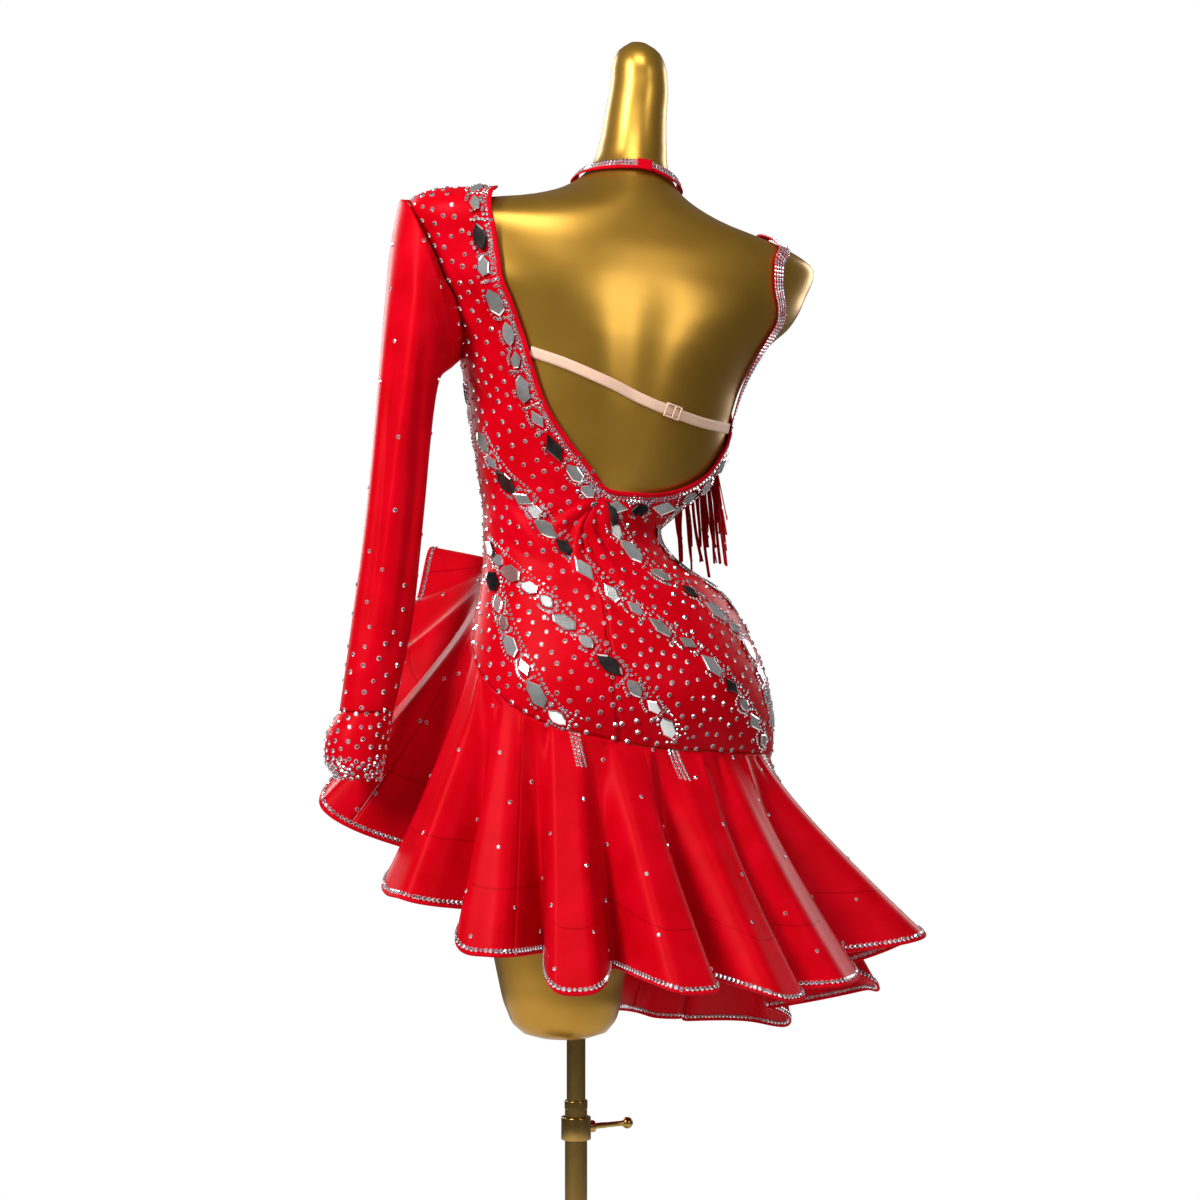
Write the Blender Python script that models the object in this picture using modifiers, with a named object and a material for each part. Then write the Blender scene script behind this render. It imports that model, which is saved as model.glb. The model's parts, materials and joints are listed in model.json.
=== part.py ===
"""Salsa dance dress on a limbless dress form, which slides on a telescopic stand.

Metres, +Z up. The origin is the centre of the base disc's underside. The front of the dress
faces -Y, and the wearer's left, which is the sleeved side, is +X.
"""

import math

import bmesh
import bpy
import numpy as np
from mathutils import Vector

OBJECT_NAME = "salsa_dance_dress"

# Stand
BASE_RADIUS = 0.170
BASE_HEIGHT = 0.012
BASE_EDGE = 0.006
SOCKET_RADIUS = 0.022
SOCKET_TOP = 0.040
TUBE_RADIUS = 0.01225
TUBE_BORE = 0.01035
TUBE_FOOT = BASE_HEIGHT + 0.0003
TUBE_TOP = 0.492
MAST_RADIUS = 0.0100
MAST_FOOT = 0.150
COLLAR_HEIGHT = 0.024
CLAMP_Z = 0.4625
CLAMP_AZIMUTH = 190.0
BOSS_RADIUS = 0.0065
BOSS_REACH = 0.0215
SCREW_RADIUS = 0.0030
SCREW_LENGTH = 0.046
KNOB_RADIUS = 0.0062
GAP = 0.0003

# Form: sections from the foot of the form to the top of its neck post.
# Columns: level, centre x, half width, front y, back y, roll in degrees (left side up)
FORM_SECTIONS = (
    (0.560, +0.012, 0.0280, -0.026, +0.026, 0.0),
    (0.563, +0.012, 0.0400, -0.034, +0.034, 0.0),
    (0.570, +0.013, 0.0500, -0.041, +0.041, 0.0),
    (0.590, +0.014, 0.0610, -0.050, +0.050, 0.0),
    (0.620, +0.016, 0.0675, -0.055, +0.055, 0.0),
    (0.670, +0.016, 0.0785, -0.062, +0.060, 0.0),
    (0.720, +0.004, 0.0940, -0.070, +0.066, 0.0),
    (0.760, -0.014, 0.1150, -0.077, +0.073, -1.0),
    (0.800, -0.036, 0.1380, -0.083, +0.083, -2.0),
    (0.845, -0.052, 0.1580, -0.088, +0.098, -2.5),
    (0.890, -0.047, 0.1615, -0.091, +0.116, -3.0),
    (0.930, -0.041, 0.1590, -0.094, +0.124, -3.0),
    (0.980, -0.035, 0.1460, -0.096, +0.114, -2.0),
    (1.025, -0.027, 0.1275, -0.094, +0.092, -1.5),
    (1.060, -0.008, 0.1010, -0.090, +0.074, -0.5),
    (1.080, -0.001, 0.0925, -0.088, +0.068, 0.0),
    (1.097, +0.001, 0.0910, -0.088, +0.066, 0.5),
    (1.115, -0.007, 0.0990, -0.091, +0.067, 1.5),
    (1.150, -0.023, 0.1205, -0.099, +0.072, 3.0),
    (1.190, -0.031, 0.1340, -0.110, +0.081, 4.0),
    (1.230, -0.033, 0.1420, -0.120, +0.090, 5.0),
    (1.262, -0.034, 0.1505, -0.119, +0.095, 5.5),
    (1.281, -0.035, 0.1580, -0.115, +0.097, 6.0),
    (1.300, -0.036, 0.1690, -0.110, +0.098, 6.0),
    (1.319, -0.038, 0.1830, -0.106, +0.098, 6.2),
    (1.337, -0.040, 0.1990, -0.102, +0.097, 6.5),
    (1.355, -0.043, 0.2080, -0.098, +0.095, 6.5),
    (1.372, -0.044, 0.2145, -0.094, +0.092, 6.5),
    (1.395, -0.048, 0.2205, -0.088, +0.087, 6.5),
    (1.408, -0.052, 0.2130, -0.084, +0.083, 6.5),
    (1.422, -0.056, 0.1730, -0.078, +0.078, 6.5),
    (1.434, -0.054, 0.1175, -0.072, +0.073, 6.5),
    (1.446, -0.055, 0.0815, -0.065, +0.067, 6.5),
    (1.458, -0.056, 0.0600, -0.058, +0.060, 6.5),
    (1.470, -0.058, 0.0480, -0.050, +0.053, 6.0),
    (1.484, -0.060, 0.0400, -0.042, +0.046, 5.5),
    (1.505, -0.063, 0.0360, -0.037, +0.040, 5.0),
    (1.540, -0.067, 0.0325, -0.034, +0.034, 5.0),
    (1.575, -0.071, 0.0303, -0.032, +0.031, 5.0),
    (1.597, -0.071, 0.0268, -0.028, +0.027, 5.0),
    (1.610, -0.071, 0.0186, -0.019, +0.018, 5.0),
    (1.616, -0.070, 0.0090, -0.010, +0.009, 5.0),
)
FORM_SEGMENTS = 32
FORM_RINGS = 60

# Soft relief of the form. Columns: angle, level, half spread in degrees, half height, rise
FORM_RELIEF = (
    (90.0, 1.270, 9.0, 0.110, -0.0045),
    (62.0, 1.335, 17.0, 0.055, +0.0040),
    (118.0, 1.325, 17.0, 0.055, +0.0040),
    (244.0, 1.235, 21.0, 0.048, +0.0090),
    (296.0, 1.235, 21.0, 0.048, +0.0090),
    (270.0, 1.230, 9.0, 0.060, -0.0040),
    (70.0, 0.925, 20.0, 0.060, +0.0040),
    (112.0, 0.920, 20.0, 0.060, +0.0040),
)

# Cloth
CLEARANCE = 0.0037
WALL = 0.0015
SEAM_DEG = 0.22
SEAM_DROP = 0.0017
TRIM_LIFT = CLEARANCE + WALL + 0.0020
CUT_OUT_LIFT = TRIM_LIFT + 0.0018
TRIM_WALL = 0.0012

# Raised left shoulder. Columns: angle, level, half spread in degrees, half height, rise
SHOULDER_PAD = (0.0, 1.408, 75.0, 0.021, 0.011)

# Line where the flounce joins the bodice. Columns: angle, level
FLOUNCE_SEAM = (
    (-50.0, 1.064),
    (-30.0, 1.050),
    (-14.0, 1.022),
    (0.0, 0.978),
    (12.0, 0.956),
    (24.0, 0.937),
    (45.0, 0.908),
    (72.0, 0.885),
    (88.0, 0.873),
    (112.0, 0.864),
    (145.0, 0.854),
    (167.0, 0.847),
    (190.0, 0.851),
    (215.0, 0.871),
    (240.0, 0.907),
    (265.0, 0.953),
    (287.0, 1.005),
    (300.0, 1.042),
    (310.0, 1.064),
)

# Centre-back seam, from the flounce up to the scoop
CENTRE_BACK = ((77.0, 0.8808), (76.0, 0.930), (76.0, 0.980), (79.0, 1.050), (81.5, 1.095), (84.0, 1.1375))

# Open back, from the centre-back seam to the left shoulder, and on to the right underarm
SCOOP_LEFT = (
    (84.0, 1.1385),
    (73.0, 1.160),
    (63.0, 1.182),
    (52.0, 1.218),
    (46.0, 1.272),
    (45.5, 1.326),
    (46.0, 1.378),
    (42.0, 1.405),
    (28.0, 1.421),
    (10.0, 1.427),
    (0.3, 1.428),
)
SCOOP_RIGHT = ((84.0, 1.1385), (105.0, 1.134), (130.0, 1.143), (146.0, 1.163), (157.0, 1.192), (166.0, 1.216))

LEFT_SIDE = 360.0
SHOULDER_TIP = 1.403
ARMHOLE_BACK = ((0.0, 1.262), (13.0, 1.292), (19.0, 1.330), (15.5, 1.368), (6.0, 1.396), (0.0, SHOULDER_TIP))
ARMHOLE_FRONT = ((0.0, 1.262), (-13.0, 1.292), (-19.0, 1.330), (-15.5, 1.368), (-6.0, 1.396), (0.0, SHOULDER_TIP))
RIGHT_SIDE = 167.0

# Cut-out at the right of the waist, as the edges of the pieces round it
CUT_OUT_BACK = ((166.0, 1.000), (161.0, 1.030), (157.0, 1.060), (156.0, 1.090), (157.0, 1.120), (162.0, 1.155))
CUT_OUT_LOW = ((165.5, 1.000), (185.0, 0.988), (210.0, 1.002), (235.0, 1.042))
CUT_OUT_HIGH = ((163.5, 1.164), (185.0, 1.158), (210.0, 1.146), (235.0, 1.122))
CUP_TOP = ((166.0, 1.216), (180.0, 1.238), (197.0, 1.272), (214.0, 1.306), (222.0, 1.312), (235.0, 1.306))
PRINCESS = 235.0
NECKLINE = (
    (235.0, 1.306),
    (255.0, 1.290),
    (275.0, 1.287),
    (298.0, 1.303),
    (311.0, 1.340),
    (314.0, 1.380),
    (318.0, 1.405),
    (332.0, 1.421),
    (350.0, 1.427),
    (359.7, 1.428),
)

# Sleeve rings below the armhole. Columns: outer x, outer z, inner x, inner z, centre y, half depth
SLEEVE_RINGS = (
    (0.1905, 1.4370, 0.1370, 1.2660, 0.000, 0.046),
    (0.1995, 1.3920, 0.1500, 1.2560, 0.003, 0.047),
    (0.2065, 1.3350, 0.1570, 1.2400, 0.007, 0.042),
    (0.2130, 1.2750, 0.1625, 1.2130, 0.011, 0.036),
    (0.2195, 1.2100, 0.1670, 1.1750, 0.014, 0.030),
    (0.2270, 1.1400, 0.1720, 1.1200, 0.017, 0.027),
    (0.2350, 1.0750, 0.1775, 1.0650, 0.019, 0.025),
    (0.2445, 1.0100, 0.1845, 1.0050, 0.020, 0.024),
    (0.2530, 0.9500, 0.1960, 0.9500, 0.021, 0.024),
    (0.2590, 0.9080, 0.2055, 0.9080, 0.021, 0.025),
)
CUFF_RINGS = (
    (0.2592, 0.9068, 0.2057, 0.9068, 0.021, 0.025),
    (0.2720, 0.8850, 0.2110, 0.8830, 0.021, 0.030),
    (0.2740, 0.8600, 0.2160, 0.8580, 0.021, 0.032),
    (0.2620, 0.8400, 0.2195, 0.8380, 0.021, 0.026),
)
SLEEVE_SEGMENTS = 20
SLEEVE_LAP = 0.0010

# Folds of the flounce, anticlockwise from the left front. Columns: seam angle,
# ridge azimuth, radius and height at the hem, valley azimuth, radius and height at the hem
FOLDS = (
    (-50.0, -52.0, 0.190, 1.080, -44.0, 0.194, 1.022),
    (-32.0, -32.0, 0.240, 0.935, -22.0, 0.203, 0.868),
    (-12.0, -13.0, 0.270, 0.812, -5.0, 0.168, 0.760),
    (8.0, 16.0, 0.222, 0.722, 30.0, 0.152, 0.708),
    (33.0, 47.0, 0.224, 0.672, 60.0, 0.150, 0.668),
    (57.0, 72.0, 0.255, 0.640, 85.0, 0.170, 0.655),
    (80.0, 99.0, 0.276, 0.640, 110.0, 0.172, 0.648),
    (102.0, 122.0, 0.288, 0.624, 130.0, 0.262, 0.630),
    (122.0, 140.0, 0.306, 0.634, 154.0, 0.268, 0.652),
    (145.0, 167.0, 0.372, 0.668, 176.0, 0.285, 0.625),
    (168.0, 183.0, 0.352, 0.592, 194.0, 0.248, 0.572),
    (192.0, 205.0, 0.310, 0.540, 217.0, 0.212, 0.552),
    (216.0, 230.0, 0.258, 0.545, 241.0, 0.170, 0.565),
    (240.0, 254.0, 0.238, 0.600, 265.0, 0.158, 0.640),
    (263.0, 276.0, 0.226, 0.700, 285.0, 0.152, 0.760),
    (286.0, 294.0, 0.212, 0.840, 300.0, 0.152, 0.940),
)
RIDGE_SPREAD = 0.72
RIDGE_FULLNESS = 1.8
FOLD_STEPS = 8
FLOUNCE_ROWS = 7
FLOUNCE_GAP = 0.006
FOLDS_PER_GODET = 2
GODET_SEAM = 0.25

# Straps and trims, as lines on the form. Columns: angle, level
SHOULDER_STRAP = (
    (166.5, 1.222),
    (163.0, 1.255),
    (157.0, 1.300),
    (147.5, 1.340),
    (138.0, 1.372),
    (135.0, 1.398),
    (146.0, 1.4165),
    (178.0, 1.4265),
    (207.0, 1.4150),
    (218.0, 1.395),
    (223.0, 1.360),
    (223.0, 1.316),
)
STRAP_WIDTH = 0.0145
ELASTIC = ((47.0, 1.268), (60.0, 1.260), (76.0, 1.247), (105.0, 1.224), (125.0, 1.216), (145.0, 1.215), (164.0, 1.217))
ELASTIC_WIDTH = 0.011
ELASTIC_LIFT = 0.0008
ELASTIC_WALL = 0.0012
SLIDER = ((105.5, 1.2240), (112.0, 1.2210))
SLIDER_WIDTH = 0.0145
NECKBAND = (
    (0.0, 1.468),
    (45.0, 1.473),
    (88.0, 1.476),
    (132.0, 1.470),
    (180.0, 1.463),
    (225.0, 1.457),
    (270.0, 1.453),
    (315.0, 1.460),
    (360.0, 1.468),
)
NECKBAND_WIDTH = 0.011
NECKBAND_LIFT = 0.0036
NECK_TAB = ((80.0, 1.4755), (98.0, 1.4755))
NECK_TAB_WIDTH = 0.0125
BINDING_WIDTH = 0.006
BINDING_INSET = 0.0045
ZIP_HALF_DEG = 2.1
ZIP_GAP_DEG = 1.35
ZIP_TOP = 0.975
FRINGE_ANGLES = (165.0, 213.0)
FRINGE_LENGTH = 0.094
FRINGE_LEAN = 0.012
FRINGE_LIFT = 0.006
FRINGE_WALL = 0.002

GOLD = (0.42, 0.27, 0.06, 1.0)
RED = (0.68, 0.002, 0.012, 1.0)


def clear_scene():
    for obj in list(bpy.data.objects):
        bpy.data.objects.remove(obj, do_unlink=True)


def new_collection(name):
    collection = bpy.data.collections.new(name)
    bpy.context.scene.collection.children.link(collection)
    return collection


def new_material(name, color, roughness, metallic):
    material = bpy.data.materials.new(name)
    material.use_nodes = True
    shader = material.node_tree.nodes["Principled BSDF"]
    shader.inputs["Base Color"].default_value = color
    shader.inputs["Roughness"].default_value = roughness
    shader.inputs["Metallic"].default_value = metallic
    return material


def smooth_table(rows, at):
    """Row of a table at a value of its first column, eased through the rows without overshoot."""
    table = np.array(rows, dtype=float)
    keys = table[:, 0]
    values = table[:, 1:]
    steps = np.diff(keys)
    slopes = (np.diff(values, axis=0).T / steps).T
    tangents = np.zeros_like(values)
    tangents[0] = slopes[0]
    tangents[-1] = slopes[-1]
    share = steps[1:] / (steps[:-1] + steps[1:])
    tangents[1:-1] = (slopes[:-1].T * share + slopes[1:].T * (1.0 - share)).T
    turning = slopes[:-1] * slopes[1:] <= 0.0
    tangents[1:-1][turning] = 0.0
    at = min(max(at, keys[0]), keys[-1])
    index = int(min(max(np.searchsorted(keys, at) - 1, 0), len(steps) - 1))
    t = (at - keys[index]) / steps[index]
    start = (2 * t**3 - 3 * t**2 + 1) * values[index] + (t**3 - 2 * t**2 + t) * steps[index] * tangents[index]
    end = (3 * t**2 - 2 * t**3) * values[index + 1] + (t**3 - t**2) * steps[index] * tangents[index + 1]
    return start + end


def turn_between(a, b):
    """Smallest turn from one angle to another, in degrees."""
    return (a - b + 180.0) % 360.0 - 180.0


def relief(angle, level):
    rise = 0.0
    for centre, height, spread, half_height, amount in FORM_RELIEF:
        across = turn_between(angle, centre) / spread
        along = (level - height) / half_height
        rise += amount * math.exp(-across * across - along * along)
    return rise


def section_point(angle, level):
    centre_x, half_width, front, back, roll = smooth_table(FORM_SECTIONS, level)
    cosine = math.cos(math.radians(angle))
    sine = math.sin(math.radians(angle))
    swell = 1.0 + relief(angle, level) / 0.1
    x = half_width * cosine * swell
    y = (front + back) / 2 + (back - front) / 2 * sine * swell
    return Vector((centre_x + x, y, level + x * math.tan(math.radians(roll))))


def skin(angle, level, lift=0.0):
    """Point on the form's surface, moved straight out by lift."""
    point = section_point(angle, level)
    if lift == 0.0:
        return point
    low = max(level - 0.002, FORM_SECTIONS[0][0])
    high = min(level + 0.002, FORM_SECTIONS[-1][0])
    across = section_point(angle + 1.0, level) - section_point(angle - 1.0, level)
    along = section_point(angle, high) - section_point(angle, low)
    return point + across.cross(along).normalized() * lift


def cloth_skin(angle, level, lift):
    """Point of the cloth, which stands higher over the left shoulder."""
    centre, height, spread, half_height, rise = SHOULDER_PAD
    across = turn_between(angle, centre) / spread
    along = (level - height) / half_height
    return skin(angle, level, lift + rise * math.exp(-across * across - along * along))


class Route:
    """Smooth line through (angle, level) points, run by its length on the form."""

    def __init__(self, points):
        flat = [Vector((math.radians(angle) * 0.12, level)) for angle, level in points]
        at = [0.0]
        for before, after in zip(flat, flat[1:]):
            at.append(at[-1] + max((after - before).length, 1e-5))
        self.rows = [(where / at[-1], angle, level) for where, (angle, level) in zip(at, points)]

    def at(self, share):
        angle, level = smooth_table(self.rows, share)
        return float(angle), float(level)


def seam_level(angle):
    """Level of the flounce seam at any angle."""
    wrapped = (angle + 50.0) % 360.0 - 50.0
    return float(smooth_table(FLOUNCE_SEAM, wrapped)[0])


def mesh_object(name, bm, collection, material, smooth=True):
    mesh = bpy.data.meshes.new(name)
    bm.to_mesh(mesh)
    bm.free()
    obj = bpy.data.objects.new(name, mesh)
    mesh.materials.append(material)
    if smooth:
        mesh.shade_smooth()
    collection.objects.link(obj)
    return obj


def lattice(columns, rows, place, closed=False):
    """A grid whose points are put at place(across, up), each running 0 to 1."""
    bm = bmesh.new()
    bmesh.ops.create_grid(bm, x_segments=columns, y_segments=rows, size=0.5)
    for vert in bm.verts:
        vert.co = place(vert.co.x + 0.5, vert.co.y + 0.5)
    if closed:
        bmesh.ops.remove_doubles(bm, verts=bm.verts, dist=1e-5)
    bm.normal_update()
    return bm


def wall(obj, thickness, outward=True):
    solidify = obj.modifiers.new("Wall", "SOLIDIFY")
    solidify.thickness = thickness
    solidify.offset = 1.0 if outward else -1.0
    solidify.use_even_offset = False
    return obj


def cloth_panel(name, collection, material, bottom, top, left, right, columns, rows):
    """Cloth between four lines on the form, as a wall that stands off it."""
    lines = [Route(line) for line in (bottom, top, left, right)]
    corners = [np.array(line.at(end)) for line in lines[:2] for end in (0.0, 1.0)]

    def place(across, up):
        low, high, first, last = lines
        edge = (1 - up) * np.array(low.at(across)) + up * np.array(high.at(across))
        side = (1 - across) * np.array(first.at(up)) + across * np.array(last.at(up))
        blend = (1 - up) * ((1 - across) * corners[0] + across * corners[1])
        blend = blend + up * ((1 - across) * corners[2] + across * corners[3])
        angle, level = edge + side - blend
        return cloth_skin(angle, level, CLEARANCE)

    bm = lattice(columns, rows, place)
    return wall(mesh_object(name, bm, collection, material), WALL)


def ribbon(name, collection, material, points, width, lift, thickness, columns, shift=0.0, closed=False):
    """A flat band along a line on the form, moved sideways by shift."""
    route = Route(points)

    def spine(share):
        angle, level = route.at(share)
        return cloth_skin(angle, level, lift)

    def place(across, up):
        angle, level = route.at(across)
        if closed:
            ahead = spine((across + 0.004) % 1.0) - spine((across - 0.004) % 1.0)
        else:
            ahead = spine(min(across + 0.01, 1.0)) - spine(max(across - 0.01, 0.0))
        outward = (skin(angle, level, 0.004) - skin(angle, level)).normalized()
        sideways = outward.cross(ahead).normalized()
        return spine(across) + sideways * (shift + (up - 0.5) * width)

    bm = lattice(columns, 1, place, closed)
    return wall(mesh_object(name, bm, collection, material), thickness)


def make_form(collection):
    bm = bmesh.new()
    bmesh.ops.create_uvsphere(bm, u_segments=FORM_SEGMENTS, v_segments=FORM_RINGS, radius=1.0)
    bottom = FORM_SECTIONS[0][0]
    top = FORM_SECTIONS[-1][0]
    for vert in bm.verts:
        polar = math.acos(max(-1.0, min(1.0, vert.co.z))) / math.pi
        ring = (1.0 - polar) * FORM_RINGS
        flat = math.hypot(vert.co.x, vert.co.y)
        share = min(max((ring - 1.0) / (FORM_RINGS - 2.0), 0.0), 1.0)
        level = bottom + (top - bottom) * share
        if flat < 1e-5:
            vert.co = (section_point(0.0, level) + section_point(180.0, level)) / 2
        else:
            vert.co = section_point(math.degrees(math.atan2(vert.co.y, vert.co.x)), level)
    material = new_material("form_gold", GOLD, 0.34, 1.0)
    return mesh_object("dress_form", bm, collection, material)


def turned(name, profile, collection, material, steps=24):
    """A round piece from its outline at +X, run top to bottom down the outer side."""
    mesh = bpy.data.meshes.new(name)
    edges = [(i, i + 1) for i in range(len(profile) - 1)]
    mesh.from_pydata([(x, 0.0, z) for x, z in profile], edges, [])
    mesh.materials.append(material)
    obj = bpy.data.objects.new(name, mesh)
    collection.objects.link(obj)
    screw = obj.modifiers.new("Turn", "SCREW")
    screw.steps = steps
    screw.render_steps = steps
    screw.use_merge_vertices = True
    screw.merge_threshold = 0.00005
    screw.use_smooth_shade = True
    return obj


def make_base(collection):
    profile = [
        (0.0, BASE_HEIGHT),
        (SOCKET_RADIUS, BASE_HEIGHT),
        (BASE_RADIUS * 0.6, BASE_HEIGHT - 0.001),
        (BASE_RADIUS - 0.010, BASE_EDGE + 0.002),
        (BASE_RADIUS - 0.002, BASE_EDGE),
        (BASE_RADIUS, BASE_EDGE - 0.002),
        (BASE_RADIUS, 0.0),
        (0.0, 0.0),
    ]
    return turned("base_disc", profile, collection, new_material("base_bronze", GOLD, 0.3, 1.0), 36)


def ring_profile(inner, outer, low, high):
    return [(inner, high), (outer, high), (outer, low), (inner, low), (inner, high)]


def make_socket(collection):
    foot = BASE_HEIGHT + GAP
    bore = TUBE_RADIUS + GAP
    profile = [
        (bore, SOCKET_TOP),
        (bore + 0.004, SOCKET_TOP),
        (SOCKET_RADIUS, foot + 0.006),
        (SOCKET_RADIUS, foot),
        (bore, foot),
        (bore, SOCKET_TOP),
    ]
    return turned("tube_socket", profile, collection, new_material("socket_bronze", GOLD, 0.3, 1.0))


def clamp_direction():
    azimuth = math.radians(CLAMP_AZIMUTH)
    return Vector((math.cos(azimuth), math.sin(azimuth), 0.0))


def rod(name, collection, material, start, length, radius, segments=16):
    """A round bar that leaves the mast's axis along the clamp's direction."""
    bm = bmesh.new()
    bmesh.ops.create_cone(
        bm, cap_ends=True, segments=segments, radius1=radius, radius2=radius, depth=length
    )
    direction = clamp_direction()
    turn = Vector((0.0, 0.0, 1.0)).rotation_difference(direction).to_matrix()
    bmesh.ops.rotate(bm, verts=bm.verts, matrix=turn)
    centre = direction * (start + length / 2) + Vector((0.0, 0.0, CLAMP_Z))
    bmesh.ops.translate(bm, verts=bm.verts, vec=centre)
    return mesh_object(name, bm, collection, material, smooth=False)


def boolean(target, cutter, operation):
    modifier = target.modifiers.new(operation.title(), "BOOLEAN")
    modifier.operation = operation
    modifier.object = cutter
    cutter.hide_render = True
    cutter.display_type = "WIRE"


def make_tubes(collection, cutters):
    bronze = new_material("tube_bronze", GOLD, 0.24, 1.0)
    outer = turned(
        "mast_outer", ring_profile(TUBE_BORE, TUBE_RADIUS, TUBE_FOOT, TUBE_TOP), collection, bronze
    )
    hole = rod("screw_hole", cutters, bronze, 0.0, 0.03, SCREW_RADIUS + GAP)
    boolean(outer, hole, "DIFFERENCE")
    polished = new_material("mast_bronze", GOLD, 0.18, 1.0)
    top = FORM_SECTIONS[0][0] - GAP
    profile = [(0.0, top), (MAST_RADIUS, top), (MAST_RADIUS, MAST_FOOT), (0.0, MAST_FOOT)]
    inner = turned("mast_inner", profile, collection, polished)
    return outer, inner


def make_clamp(collection, cutters):
    bronze = new_material("clamp_bronze", GOLD, 0.26, 1.0)
    inner = TUBE_RADIUS + GAP
    low = CLAMP_Z - COLLAR_HEIGHT / 2
    high = CLAMP_Z + COLLAR_HEIGHT / 2
    collar = turned("clamp_collar", ring_profile(inner, inner + 0.0032, low, high), collection, bronze)
    boss = rod("boss_body", cutters, bronze, inner + 0.0012, BOSS_REACH - inner - 0.0012, BOSS_RADIUS)
    boolean(collar, boss, "UNION")
    bore = rod("boss_bore", cutters, bronze, inner - 0.004, 0.03, SCREW_RADIUS + GAP)
    boolean(collar, bore, "DIFFERENCE")
    return collar


def make_screw(collection):
    """The clamp's thumb screw: a stem with a ball end, turned on the clamp's axis."""
    steel = new_material("screw_bronze", GOLD, 0.22, 1.0)
    tip = MAST_RADIUS + GAP
    end = tip + SCREW_LENGTH
    neck = math.sqrt(KNOB_RADIUS**2 - SCREW_RADIUS**2)
    profile = [(0.0, end + neck + KNOB_RADIUS)]
    for step in range(1, 8):
        angle = math.radians(90.0 - step * 19.0)
        profile.append((KNOB_RADIUS * math.cos(angle), end + neck + KNOB_RADIUS * math.sin(angle)))
    profile = [point for point in profile if point[0] >= SCREW_RADIUS or point[1] > end + neck]
    profile += [(SCREW_RADIUS, end), (SCREW_RADIUS, tip), (0.0, tip)]
    screw = turned("clamp_screw", profile, collection, steel, 16)
    screw.rotation_mode = "QUATERNION"
    screw.rotation_quaternion = Vector((0.0, 0.0, 1.0)).rotation_difference(clamp_direction())
    screw.location = (0.0, 0.0, CLAMP_Z)
    return screw


def seam_line(start, end, steps=8, drop=0.0):
    line = []
    for step in range(steps + 1):
        angle = start + (end - start) * step / steps
        line.append((angle, seam_level(angle) + drop))
    return line


def shifted(line, degrees):
    return [(angle + degrees, level) for angle, level in line]


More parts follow.
